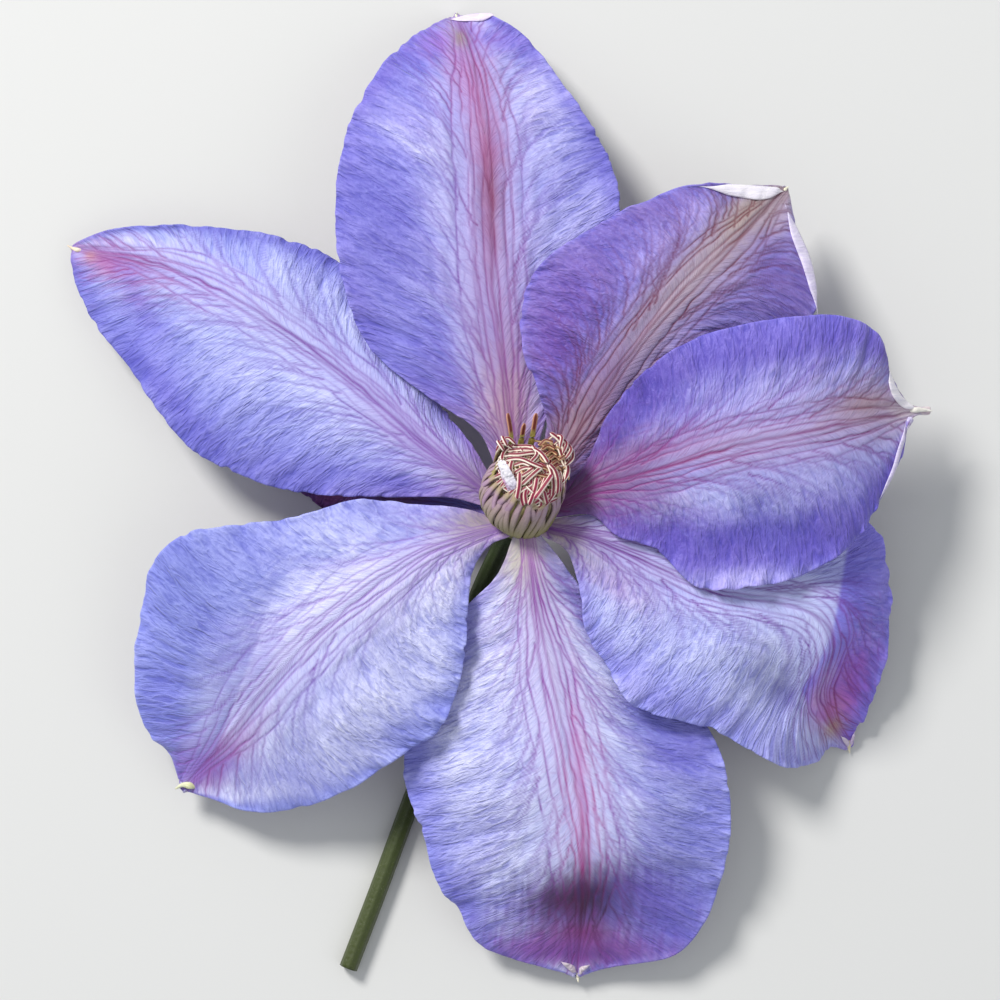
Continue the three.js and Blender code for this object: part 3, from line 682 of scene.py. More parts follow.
def over_edges(values):
    """Carries the values at the margins of the blade out over its rolled edges."""
    first, last = (np.repeat(values[:, [column]], EDGE_COLUMNS, axis=1) for column in (0, -1))
    return np.concatenate([first, values, last], axis=1)


def sheet_faces(rows, columns):
    """Faces of a thin sheet: its upper skin, its lower skin turned over, and the rim that joins them."""
    total = rows * columns
    grid = np.arange(total).reshape(rows, columns)
    a, b, c, d = grid[:-1, :-1], grid[1:, :-1], grid[1:, 1:], grid[:-1, 1:]
    rim = np.concatenate([grid[:, 0][::-1], grid[0, 1:], grid[1:, -1], grid[-1, :-1][::-1][:-1]])
    after = np.roll(rim, -1)
    quads = np.concatenate([np.stack([a, b, c, d], -1).reshape(-1, 4),
                            np.stack([a, d, c, b], -1).reshape(-1, 4) + total,
                            np.stack([rim, after, after + total, rim + total], -1)])
    return [tuple(quad) for quad in quads.tolist()]


def note_points(mesh, name, values):
    """Notes a value or a tint at every point, for the material to read."""
    if values.ndim == 1:
        mesh.attributes.new(name, "FLOAT", "POINT").data.foreach_set("value", values.astype(np.float32))
    else:
        tints = np.column_stack([values, np.ones(len(values))]).astype(np.float32)
        mesh.attributes.new(name, "FLOAT_COLOR", "POINT").data.foreach_set("color", tints.ravel())


def make_tepal(name, tepal):
    """One tepal: a closed blade with its horn and folded rims, and what its material reads at every point."""
    seed = tepal["seed"]
    u = np.linspace(0, 1, TEPAL_ROWS)
    t = np.linspace(-1, 1, TEPAL_COLUMNS)[None, :]
    reach = np.abs(t) * np.ones((TEPAL_ROWS, 1))
    rib = blade_surface(tepal, u, np.zeros((TEPAL_ROWS, 1)))[:, 0]
    along = np.concatenate([[0], np.cumsum(np.linalg.norm(np.diff(rib, axis=0), axis=1))])[:, None]

    # Small notches in the margins.
    notches = np.where(t > 0, patchy(along / 1.5, 0, seed + 11), patchy(along / 1.5, 9, seed + 12))
    one_margin, other_margin = (blade_surface(tepal, u, np.array([[side]])) for side in (1.0, -1.0))
    half_breadth = np.maximum(np.linalg.norm(one_margin - other_margin, axis=-1) / 2, 1)
    nibble = np.minimum(0.3 / half_breadth, 0.04) * np.maximum(notches, 0) * np.sin(math.pi * u)[:, None]
    points = blade_surface(tepal, u, t * (1 - nibble * np.abs(t) ** 12))

    # Where each point is on the tissue, if that were laid flat, and the veins that are drawn there.
    steps = np.linalg.norm(np.diff(points, axis=1), axis=-1)
    across = np.concatenate([np.zeros((TEPAL_ROWS, 1)), np.cumsum(steps, axis=1)], axis=1)
    across = across - across[:, TEPAL_COLUMNS // 2][:, None]
    lead = along - PUCKER_RISE * np.sqrt(np.abs(across) * max(np.abs(across[:, [0, -1]]).max(), 1))

    def half_width(at, side):
        return np.interp(at, along[:, 0], np.abs(across[:, -1 if side > 0 else 0]))

    veins = vein_net(vein_paths(tepal, along[-1, 0], half_width), along, across)
    relief, pucker = puckers(tepal, u, t, along, across, lead)
    relief -= VEIN_GROOVE * veins
    normal = face_normals(points)
    points = points + normal * relief[..., None]

    # The blade with its rolled edges gets its thickness, and is kept out of the floor.
    right, left = (rolled_edge(tepal, side, points, normal, u, along) for side in (-1, 1))
    sheet = np.concatenate([right[:, ::-1], points, left], axis=1)
    thick = BLADE * (1 - 0.35 * over_edges(reach) ** 6) / 2
    sheet[..., 2] = np.maximum(sheet[..., 2], thick + BLADE_OFF_FLOOR)
    normal = face_normals(sheet)
    upper = sheet + normal * thick[..., None]
    lower = sheet - normal * thick[..., None]
    lower[..., 2] = np.maximum(lower[..., 2], 0.0)
    upper[..., 2] = np.maximum(upper[..., 2], lower[..., 2] + THINNEST)

    tint, vein_tint = paint(tepal, points, u, along, across, reach)
    # Painted light and shade on the wrinkled face: lighter on the ridges, darker and bluer in the hollows.
    ridge = np.clip(relief / 0.35, -1, 1)[..., None]
    face = over_edges(tint * (1 + ridge * np.array(RIDGE_PAINTED_LIGHT)))
    back = colour(*tepal["tones"]["back"]) * (1 - 0.25 * (1 - over_edges(reach)[..., None]) ** 2)
    places, tints = [upper.reshape(-1, 3), lower.reshape(-1, 3)], [face.reshape(-1, 3), back.reshape(-1, 3)]
    faces = sheet_faces(*sheet.shape[:2])
    trims = [(tepal["tones"]["spur"], spur(tepal, upper))]
    trims += [(hue, folded_rim(route, upper)) for hue, route in tepal["folds"]]
    for hue, rings in trims:
        faces += tube_faces(*rings.shape[:2], first=sum(map(len, places)))
        places.append(rings.reshape(-1, 3))
        tints.append(np.tile(colour(*hue), (len(places[-1]), 1)))
    piece = make_mesh(name, np.concatenate(places), faces, np.concatenate(tints))

    # The trims have no veins and no wrinkles, and the back has veins half as strong as the face.
    loose = np.concatenate(places[2:])
    bare = np.zeros(len(loose))
    vein, crinkle = over_edges(veins).ravel(), over_edges(pucker).ravel()
    note_points(piece.data, "vein", np.concatenate([vein, vein * 0.5, bare]) * tepal["vein_depth"])
    note_points(piece.data, "vein_tint", np.concatenate(
        [over_edges(vein_tint).reshape(-1, 3)] * 2 + [np.ones((len(bare), 3))]))
    note_points(piece.data, "crinkle", np.concatenate([crinkle, crinkle, bare]))
    weave = np.column_stack([over_edges(across).ravel(), over_edges(lead).ravel()])
    weave = np.concatenate([weave, weave, loose[:, :2]]) * 0.001
    corners = np.empty(len(piece.data.loops), np.int32)
    piece.data.loops.foreach_get("vertex_index", corners)
    piece.data.uv_layers.new(name="tissue").data.foreach_set("uv", weave[corners].ravel())
    return piece


def vein_tissue_group():
    """The fine structure of petal tissue: wrinkles along the veins with painted shade in their hollows, a net
    of veinlets, and cells.
    """
    group, nodes, links, given, result = new_group(
        "vein_tissue", "ShaderNodeTree",
        [("Tissue", "Vector", (0, 0, 0)), ("Tint", "Color", (1, 1, 1, 1)), ("Vein", "Float", 0),
         ("Crinkle", "Float", 1), ("Vein Tint", "Color", (0.3, 0.1, 0.3, 1)),
         ("Painted Wrinkle Shade", "Float", 0.35), ("Net", "Float", 0.2)],
        [("Color", "Color"), ("Roughness", "Float"), ("Height", "Float")])

    def stretched(across, lead):
        """Places on the tissue, with so many noise cells to a metre across it and along it."""
        mapping = nodes.new("ShaderNodeMapping")
        mapping.inputs["Scale"].default_value = (across, lead, 1)
        links.new(given["Tissue"], mapping.inputs["Vector"])
        return mapping.outputs["Vector"]

    def stretched_noise(across, lead, detail, warp):
        noise = nodes.new("ShaderNodeTexNoise")
        noise.inputs["Scale"].default_value = 1
        noise.inputs["Detail"].default_value = detail
        noise.inputs["Distortion"].default_value = warp
        links.new(stretched(across, lead), noise.inputs["Vector"])
        return noise.outputs["Fac"]

    def step(operation, first, second, clamp=False):
        return math_node(nodes, links, operation, first, second, clamp)

    coarse = stretched_noise(240, 1000, 2, 0.5)
    fine = stretched_noise(760, 2600, 3, 0.4)
    cells = stretched_noise(5200, 5200, 1, 0.0)
    off_ridge = step("ABSOLUTE", step("MULTIPLY", step("SUBTRACT", coarse, 0.5), 5.0), 0.0)
    ridge = step("SUBTRACT", 1.0, off_ridge, clamp=True)
    wrinkle = step("ADD", step("MULTIPLY", ridge, 0.4), step("MULTIPLY", fine, 0.5))
    crinkled = step("ADD", step("MULTIPLY", given["Crinkle"], 0.75), 0.25)
    wrinkle = step("MULTIPLY", step("SUBTRACT", wrinkle, 0.45), crinkled)

    net = nodes.new("ShaderNodeTexVoronoi")
    net.feature = "DISTANCE_TO_EDGE"
    net.inputs["Scale"].default_value = 1
    links.new(stretched(300, 560), net.inputs["Vector"])
    lines = nodes.new("ShaderNodeMapRange")
    lines.interpolation_type = "SMOOTHSTEP"
    for socket, value in (("From Min", 0.0), ("From Max", 0.09), ("To Min", 1), ("To Max", 0)):
        lines.inputs[socket].default_value = value
    links.new(net.outputs["Distance"], lines.inputs["Value"])
    veinlets = step("MULTIPLY", lines.outputs["Result"], given["Net"])

    broken = step("ADD", step("MULTIPLY", fine, 0.9), 0.55)
    vein = step("MAXIMUM", step("MULTIPLY", given["Vein"], broken, clamp=True), veinlets)
    speckle = step("MULTIPLY", step("SUBTRACT", cells, 0.5), 0.2)
    # Painted shade: the tint is made darker, and bluer too, in the hollows of the wrinkles; the cells add a
    # random speckle.
    painted_shade_and_speckle = step("ADD", step("MULTIPLY", wrinkle, given["Painted Wrinkle Shade"]), speckle)
    hollows = nodes.new("ShaderNodeVectorMath")     # a hollow is not only darker but also bluer
    hollows.operation = "MULTIPLY_ADD"
    links.new(painted_shade_and_speckle, hollows.inputs[0])
    hollows.inputs[1].default_value = (1.15, 1.1, 0.5)
    hollows.inputs[2].default_value = (1, 1, 1)
    shade = nodes.new("ShaderNodeVectorMath")
    shade.operation = "MULTIPLY"
    links.new(given["Tint"], shade.inputs[0])
    links.new(hollows.outputs["Vector"], shade.inputs[1])
    mix = nodes.new("ShaderNodeMix")
    mix.data_type = "RGBA"
    links.new(vein, mix.inputs["Factor"])
    links.new(shade.outputs["Vector"], mix.inputs["A"])
    links.new(given["Vein Tint"], mix.inputs["B"])
    raised = step("ADD", wrinkle, step("MULTIPLY", cells, 0.12))
    height = step("SUBTRACT", raised, step("MULTIPLY", vein, 0.25))
    links.new(mix.outputs["Result"], result["Color"])
    links.new(step("ADD", step("MULTIPLY", fine, 0.25), 0.38), result["Roughness"])
    links.new(height, result["Height"])
    return group


vein_tissue = vein_tissue_group()


def tepal_material(name, wrinkle_shade):
    """Petal tissue with a soft sheen, which reads its tints and veins from the points of the blade."""
    material, nodes, links, shader = plain_material(name)
    shader.inputs["Sheen Weight"].default_value = 0.25
    shader.inputs["Sheen Roughness"].default_value = 0.4
    shader.inputs["Specular IOR Level"].default_value = 0.35
    tissue = surface_from(vein_tissue, nodes, links, shader, depth=0.00036)
    # How much shade is painted into the hollows of the wrinkles.
    tissue.inputs["Painted Wrinkle Shade"].default_value = wrinkle_shade
    tissue.inputs["Net"].default_value = 0.2
    weave = nodes.new("ShaderNodeUVMap")
    weave.uv_map = "tissue"
    links.new(weave.outputs["UV"], tissue.inputs["Tissue"])
    for attribute, output, socket in (("tint", "Color", "Tint"), ("vein", "Fac", "Vein"),
                                      ("vein_tint", "Color", "Vein Tint"), ("crinkle", "Fac", "Crinkle")):
        reader = nodes.new("ShaderNodeAttribute")
        reader.attribute_name = attribute
        links.new(reader.outputs[output], tissue.inputs[socket])
    return material


lavender = tepal_material("tepal_lavender", wrinkle_shade=1.15)
violet = tepal_material("tepal_violet", wrinkle_shade=1.0)

top_tepal = dict(
    PLAIN_TEPAL, azimuth=97, claw=4.4, flare=0.2, seed=101,
    bar=4.9, bar_depth=[(0, 0.8), (0.3, 0.6), (0.6, 0.45), (0.8, 0.45), (0.95, 0.6), (1, 0.5)],
    field=((0.2, 0.62), (0.5, 1.05)), vein_turn=62, vein_gap=3.8, vein_depth=0.85, pucker=0.75,
    waves=[(0.5, 3, 0.1), (0.6, 4, 0.4)],
    swells=[(-17, 62, 9, 1.2), (4, 70, 7, -1.2)],
    folds=[
        ((222, 208, 232), [(-12.7, 82.2, -12.7, 82), (-11.3, 82.5, -11.1, 81.7), (-8.9, 82.9, -8.9, 81.5),
            (-6.9, 82.8, -7.2, 81.3), (-5.2, 82.6, -5.9, 81.6), (-4.4, 82.4, -4.5, 82.2)]),
    ],
    spur=[(-11, 82.2), (-11.2, 82.9), (-11, 83.4)], spur_radius=0.32,
    tones=dict(pale=(172, 172, 230), side=(126, 126, 214), margin=(120, 116, 208), bar=(172, 140, 196),
               claw=(196, 148, 186), back=(198, 188, 222), spur=(222, 226, 200),
               vein=(122, 50, 136), outer_vein=(92, 74, 182)),
    blushes_and_painted_light=[
        (-5.4, 53, 8.5, 1.8, 92, (110, 32, 84), 0.7),
        (-5.4, 45.5, 8, 1.4, 90, (140, 60, 112), 0.5),
        (-5.9, 59.6, 5.5, 2.4, 98, (168, 92, 146), 0.6),
        (-8.1, 68.3, 5.5, 2.8, 112, (172, 98, 160), 0.55),
        (-10.1, 73.9, 5.5, 3.4, 100, (170, 112, 176), 0.5),
        (-14.4, 77.5, 4.6, 2.6, 20, (150, 104, 200), 0.6),
        (-10.4, 78.5, 1.6, 1.4, 90, (166, 156, 104), 0.85),
        (-3.8, 77.9, 6, 2.6, -15, (112, 92, 196), 0.8),
        (-1.8, 20.8, 12, 2.4, 95, (150, 110, 172), 0.7),
        (1.2, 68.6, 6, 5, 60, (192, 190, 246), 0.6),
        (-23.6, 70.6, 6.6, 1.7, 50, (120, 104, 206), 0.5),
        # Painted highlights where the left side rises in a lit fold.
        (-20.6, 62, 3.2, 1.6, -30, (204, 206, 248), 0.65),
        (-17, 59.1, 4.4, 1.6, -28, (200, 202, 248), 0.65),
        (-25.6, 48, 9, 4.2, 90, (104, 104, 196), 0.6),
        (-17, 66.2, 6, 4.4, 20, (158, 156, 226), 0.65),
        (-4.6, 29, 9.9, 3.6, 90, (166, 150, 206), 0.5),
        (-21.1, 25.7, 8, 4, 80, (146, 146, 228), 0.5),
        (6.1, 53.8, 8, 5, 60, (144, 146, 218), 0.5),
        (-22.8, 44.7, 5, 9, 0, (110, 106, 196), 0.45),
        (-19, 64, 5, 5, 0, (150, 144, 222), 0.4),
        (-2.5, 16.2, 5, 8, 0, (196, 160, 166), 0.6),
    ],
    stains=[
        (-5.1, 52.1, 16, 3, 92, (112, 12, 58), 0.95),
        (-7.4, 68.3, 8, 5, 100, (146, 36, 104), 0.85),
        (-3.8, 27.4, 16, 3.4, 90, (138, 60, 138), 0.7),
    ],
    stations=[
        ((-2, 10.9, 16.2), (-7.1, 12.2, 15.8), (2.8, 11.9, 16.2)),
        ((-2.8, 18.1, 17.4), (-15.2, 18, 16.6), (6.1, 20.8, 17.2)),
        ((-3.6, 26.5, 18.4), (-25.1, 26.1, 17), (10.5, 31, 17.8)),
        ((-4.8, 36.4, 18.8), (-29.5, 37, 17), (13.7, 40.6, 17.6)),
        ((-5.4, 46.3, 18.2), (-30.7, 48.4, 16.4), (15.7, 49.3, 16.8)),
        ((-5.8, 56.3, 16.6), (-29.8, 58.9, 14.6), (14.2, 57.3, 14.8)),
        ((-6.8, 65.3, 14), (-26.9, 67, 12.2), (10.8, 63.8, 12.6)),
        ((-8, 72.6, 10.6), (-22, 74.9, 9.4), (5.8, 71.1, 10.4)),
        ((-9.4, 77.7, 7), (-17.1, 79.4, 6.2), (1.3, 77.3, 8.4)),
        ((-10.4, 80.7, 3.6), (-13.8, 81.1, 3.6), (-4.2, 81.6, 6.4)),
        ((-11.2, 83.2, 0.2), (-11.5, 83, 0.4), (-10.6, 83.1, 0.5)),
    ])
put_on_flower(make_tepal("blade_top", top_tepal), "tepal_top", lavender)


# --------------------------------------------------------------------------------------- upper right tepal
# A darker tepal, as thin and soft as the top one, which stands a little higher and lies over it. Its margins
# fold forward near the tip, so that their white backs show as a narrow rim.

upper_right_tepal = dict(
    PLAIN_TEPAL, azimuth=49, claw=3.4, flare=0.3, seed=202,
    bar=5.4, bar_depth=[(0, 0.7), (0.5, 0.6), (1, 0.85)],
    field=((0.25, 0.8), (0.25, 0.9)), vein_turn=56, vein_gap=2.1, vein_depth=0.9, pucker=0.8,
    waves=[(0.5, 3, 0.6), (0.4, 3, 0.2)],
    swells=[(12, 33, 8, 1.4)],
    folds=[
        ((244, 238, 250), [(28.4, 52.8, 28.5, 52.6), (33.4, 53.1, 33.2, 51.4), (36.7, 53.1, 36.2, 50.9),
            (40.1, 53, 38.9, 50.6), (42.6, 52.9, 41.3, 51.1), (43.7, 52.7, 43.3, 52.1)]),
        ((228, 218, 246), [(43.7, 50.3, 43.1, 50.1), (45.7, 45.5, 44.3, 44.7), (47.6, 40.8, 46, 40),
            (48.5, 36.4, 47.2, 36.1), (48.9, 31.3, 48.5, 31.5)]),
    ],
    spur=[(43.3, 52.3), (43.8, 52.8), (44.3, 53.2)], spur_radius=0.38,
    tones=dict(pale=(150, 140, 220), side=(132, 122, 210), margin=(132, 122, 210), bar=(176, 156, 160),
               claw=(150, 104, 156), back=(206, 198, 228), spur=(232, 228, 205),
               vein=(94, 28, 62), outer_vein=(110, 50, 112)),
    blushes_and_painted_light=[
        (27.6, 38.6, 16, 3.6, 46, (164, 146, 148), 0.6),
        (36.6, 48.5, 6, 3.4, 46, (170, 154, 138), 0.75),
        (40.8, 38.9, 6.6, 3.6, -70, (120, 102, 200), 0.5),
        (6.1, 34, 5, 6.6, 0, (122, 112, 210), 0.4),
        (19.3, 48, 8.2, 2.3, 15, (140, 122, 212), 0.4),
        (12.7, 18.3, 10, 3.4, 62, (118, 82, 148), 0.65),
        (21.8, 43.9, 6, 3, 40, (152, 142, 222), 0.4),
        (29.2, 48, 5, 2, 30, (150, 136, 214), 0.4),
        (11.1, 38.1, 8, 6, 0, (112, 98, 196), 0.4),
        (4.8, 25.7, 4, 5, 0, (92, 72, 164), 0.4),
        (7.4, 13.5, 4, 7, -40, (168, 136, 128), 0.55),
        (5, 26.2, 5, 7, 0, (104, 66, 178), 0.5),
        (7.8, 35.3, 7, 6, 20, (112, 84, 186), 0.4),
    ],
    stains=[
        (35, 46.4, 9, 5, 46, (112, 54, 54), 0.85),
        (19.3, 29, 18, 3.4, 50, (112, 36, 66), 0.8),
    ],
    stations=[
        ((7.7, 9.7, 17.8), (4, 12.9, 17.6), (11.2, 7.6, 17.2)),
        ((12, 16.4, 19.8), (3.1, 17.8, 19.6), (16.3, 12.5, 17.4)),
        ((17.1, 23.9, 21.4), (0.5, 24.6, 20.8), (23.4, 18.3, 17.8)),
        ((22.6, 31.1, 22), (-0.2, 31.8, 21.2), (31.7, 23.1, 17.6)),
        ((27.8, 36.9, 22), (2.5, 38.7, 21.6), (39.4, 26.5, 17.4)),
        ((32.6, 41.5, 21), (10.2, 44.8, 21.2), (45.2, 28.7, 17)),
        ((36.5, 45.2, 19), (19.2, 49.7, 20.4), (48.4, 33.5, 16.4)),
        ((39.5, 48.4, 16.4), (27.5, 52.7, 18.6), (47.1, 40, 15.6)),
        ((41.8, 50.9, 13.8), (35.3, 52.8, 16.4), (44.7, 46.2, 14.2)),
        ((44, 53, 10.6), (43.6, 53.1, 11), (44.1, 52.4, 10.8)),
    ])
put_on_flower(
    make_tepal("blade_upper_right", upper_right_tepal), "tepal_upper_right", violet)


# --------------------------------------------------------------------------------------------- right tepal
# The highest tepal. Its lower side drops in an S from the rib and levels out over the tepal below it. It ends
# in a long white horn between two narrow folded rims.

right_tepal = dict(
    PLAIN_TEPAL, azimuth=12, claw=3.0, flare=0.9, seed=303,
    bar=4.6, bar_depth=[(0, 0.75), (0.5, 0.55), (1, 0.8)],
    field=((0.25, 0.8), (0.35, 0.85)), vein_turn=50, vein_gap=4.5, vein_depth=0.9, pucker=0.75,
    waves=[(0.5, 3, 0.3), (0.5, 3, 0.8)],
    swells=[(30, 15, 9, 1.2), (40, -7, 8, -1)],
    folds=[
        ((246, 240, 250), [(60.4, 23, 60.2, 22.7), (61.2, 20.6, 60.2, 20.2), (62.6, 18.2, 61.1, 17.8),
            (64.2, 16.9, 62.9, 16.2), (66, 16.3, 65.3, 15.6)]),
        ((210, 200, 232), [(63.6, 13.9, 63.1, 14), (63.2, 11.2, 62.5, 11.4), (62.5, 8.9, 61.7, 9.1),
            (61.6, 6.1, 60.9, 6.4), (60.1, 3, 59.6, 3.3), (58.7, 0.5, 58.4, 0.8)]),
    ],
    spur=[(63.2, 15.6), (65, 15.9), (66.6, 15.9), (67.9, 15.8)], spur_radius=0.62,
    tones=dict(pale=(168, 168, 234), side=(110, 100, 198), margin=(120, 110, 210), bar=(186, 164, 202),
               claw=(152, 96, 156), back=(204, 196, 228), spur=(240, 236, 228),
               vein=(132, 48, 132), outer_vein=(94, 68, 178)),
    blushes_and_painted_light=[
        # Painted light of the S in the lower side: a highlight beside the rib, painted shade in the trough
        # below it, and a lighter band where the side levels out.
        (29.2, 4.3, 12, 2.6, -15, (174, 180, 242), 0.75),
        (35.8, -4.5, 13.2, 3.2, 8, (84, 74, 182), 0.75),
        (36.6, -11.9, 12, 1.8, 5, (172, 168, 236), 0.8),
        (63.2, 16, 3, 1.5, 8, (236, 226, 234), 0.95),
        (67, 15.9, 2.4, 1.6, 0, (238, 232, 232), 1),
        (55.9, 17, 7, 3, 12, (166, 136, 146), 0.8),
        (19.3, 20, 8.2, 4.4, 45, (84, 68, 170), 0.75),
        (21, 8.9, 11, 2.4, 16, (150, 98, 166), 0.6),
        (42.4, 18.3, 9, 3.4, 14, (172, 164, 224), 0.5),
        (27.6, 5.9, 5, 1.6, 15, (150, 128, 212), 0.4),
        (11.1, 2.3, 7, 6, 15, (104, 66, 92), 0.7),
        (16.3, 5.3, 8, 7, 15, (112, 74, 128), 0.6),
        (20.6, 2.3, 6, 4, 0, (110, 80, 150), 0.5),
    ],
    stains=[
        (55.3, 16.7, 9, 5, 12, (112, 54, 66), 0.9),
        (27.6, 8.9, 14, 3.4, 16, (140, 36, 104), 0.8),
    ],
    stations=[
        ((11, 2.8, 19), (10.7, 7.4, 18.8), (11.3, -1.2, 19.2)),
        ((17.9, 4.6, 20.8), (13.6, 13.9, 20.8), (15.6, -4.6, 20.6)),
        ((25.7, 6.9, 22.8), (18.8, 20.6, 22.4), (22, -6.9, 20.4)),
        ((34.6, 9.6, 24.2), (26.6, 26.5, 23.6), (29, -13.1, 20.8)),
        ((42.8, 11.4, 24.4), (36.6, 29.5, 24.6), (38.2, -13, 21)),
        ((49.9, 12.8, 23.2), (45.4, 30.8, 24.6), (47.3, -10.5, 20.6)),
        ((55.6, 13.9, 21), (52.8, 30.6, 23.2), (54.7, -5.6, 19.6)),
        ((60, 14.8, 18), (58.6, 27.7, 20.6), (59, 1, 18)),
        ((62.8, 15.4, 15.6), (60.5, 21.4, 17.8), (62, 7.9, 16.2)),
        ((64.8, 15.7, 14.2), (63.7, 17, 15), (63.9, 14.2, 15)),
        ((67.6, 15.9, 12.6), (67.4, 16.1, 12.8), (67.4, 15.6, 12.8)),
    ])
put_on_flower(make_tepal("blade_right", right_tepal), "tepal_right", lavender)


# --------------------------------------------------------------------------------------- lower right tepal
# A tepal folded along its rib near the tip. One face looks up and is pale, and the other falls away to the
# right, down to the floor, painted darker as shade and with a magenta end. A pocket is pressed into it beside
# the fold.

lower_right_tepal = dict(
    PLAIN_TEPAL, azimuth=-36, claw=3.8, flare=0.3, crease=0.75, seed=404,
    bar=4.6, bar_depth=[(0, 0.8), (0.3, 0.45), (0.5, 0.15), (0.9, 0.1), (1, 0.5)],
    field=((0.5, 1.1), (0.6, 1.2)), vein_turn=60, vein_gap=3.2, vein_depth=0.95, pucker=0.5,
    waves=[(0.5, 3, 0.2), (0.6, 4, 0.5)],
    swells=[(43, -31, 5.5, -3.2), (33, -22, 9, 1.2)],
    folds=[
        ((214, 198, 220), [(53.4, -38.8, 53.7, -38.6), (54.5, -40.3, 55, -39.6), (55.2, -41, 55.3, -40.4)]),
        ((204, 184, 216), [(56.2, -38, 55.9, -37.9), (55.9, -39.7, 55.3, -39.6), (55.5, -40.9, 55.2, -40.4)]),
    ],
    spur=[(55, -39), (55.1, -40.2), (55.2, -41.1), (55.3, -41.8)], spur_radius=0.45,
    tones=dict(pale=(190, 196, 252), side=(170, 176, 248), margin=(152, 154, 232), bar=(198, 190, 244),
               claw=(184, 142, 196), back=(192, 184, 218), spur=(225, 215, 180),
               vein=(124, 64, 160), outer_vein=(98, 76, 182)),
    blushes_and_painted_light=[
        (54, -30.4, 8, 3.4, 74, (168, 84, 224), 0.9),
        (52, -32.7, 5, 2.6, 60, (196, 112, 176), 0.8),
        (52, -37.1, 2.4, 1.5, 50, (186, 158, 112), 0.85),
        (49, -32, 4.4, 1.6, 70, (206, 160, 206), 0.7),
        # Painted shade in the pocket pressed in beside the fold and below it, then painted highlights on the
        # lit pale face and along the crease.
        (43.1, -31, 5.2, 2.6, -50, (84, 84, 165), 0.85),
        (41.7, -36.1, 6, 3, 90, (140, 142, 224), 0.6),
        (29.2, -22.1, 10, 5.8, -20, (198, 205, 254), 0.5),
        (47.7, -17.2, 8, 2.6, -72, (204, 210, 255), 0.7),
        (35, -37.3, 8, 2.2, -30, (168, 172, 244), 0.4),
        (14.4, -12.2, 7, 2.4, -35, (186, 150, 202), 0.55),
        (45.7, -39.4, 6, 2.6, -20, (150, 152, 236), 0.5),
        (56.9, -8.9, 6, 3, 84, (120, 116, 222), 0.4),
        (32.5, -24.6, 8, 4, -30, (184, 194, 255), 0.35),
        (40.1, -25.4, 4.4, 5.4, -30, (210, 216, 255), 0.55),
        (6.4, -5, 5, 3.4, -30, (164, 148, 140), 0.7),
        (44.9, -38.6, 7, 3.5, -20, (190, 196, 252), 0.5),
        (54, -27.4, 4, 6, -20, (120, 84, 196), 0.45),
        (39.9, -15.8, 8, 2.5, -10, (190, 196, 250), 0.4),
    ],
    stains=[
        (54, -30.4, 9, 5, 76, (128, 32, 140), 0.9),
        (52, -35.6, 5, 3, 60, (150, 70, 90), 0.8),
    ],
    # Painted shade on the face beyond the fold, which falls away from the light, from the crease out to the
    # margin.
    painted_shades=[
        ((112, 100, 222), 0.84, 60, [
            (54.9, 2.6), (53.5, -6.9), (52.1, -14.9), (50.8, -21.4), (48.3, -26.6), (46.2, -30.4),
            (47.7, -34.3), (50.7, -36.5), (54.3, -39.9)]),
    ],
    stations=[
        ((10.2, -5.1, 19.8), (12.7, -1.3, 17.4), (7.1, -6.9, 19.2)),
        ((16.8, -7.7, 18.8), (21.8, -1, 15.8), (9.5, -13, 18.6)),
        ((24.5, -11, 18.2), (32.6, -0.3, 15.2), (10.7, -20.8, 18.2)),
        ((32.8, -14.2, 18), (44.2, 0.2, 14.6), (13.8, -26, 17.6)),
        ((42.1, -15.8, 17.4), (54.3, -0.3, 13), (18.3, -32.7, 17)),
        ((48.7, -18, 16.6), (59.6, -6.2, 10.8), (25.3, -35.2, 16.4)),
        ((51.1, -22.5, 15.4), (61.1, -14.7, 8.8), (32.3, -37.2, 14.8)),
        ((50.3, -27.5, 13.4), (61.1, -21.8, 7.2), (38.4, -40.6, 12)),
        ((49.5, -31.8, 10.6), (59.5, -29.7, 5.6), (44.9, -43.6, 8.4)),
        ((51.1, -35.7, 7), (57.5, -35.1, 4), (49.2, -42.7, 4.4)),
        ((53.5, -38.9, 2.8), (55.8, -37.9, 2.4), (52.1, -40.4, 2.2)),
        ((55.3, -40.9, 0.2), (55.6, -40.7, 0.5), (54.9, -41.1, 0.5)),
    ])
put_on_flower(
    make_tepal("blade_lower_right", lower_right_tepal), "tepal_lower_right", lavender)


# -------------------------------------------------------------------------------------------- bottom tepal
# A long tepal that runs straight down from its claw and almost reaches the floor. Its rib is magenta, and a
# maroon blotch spreads over its end between the two folded rims of the tip.

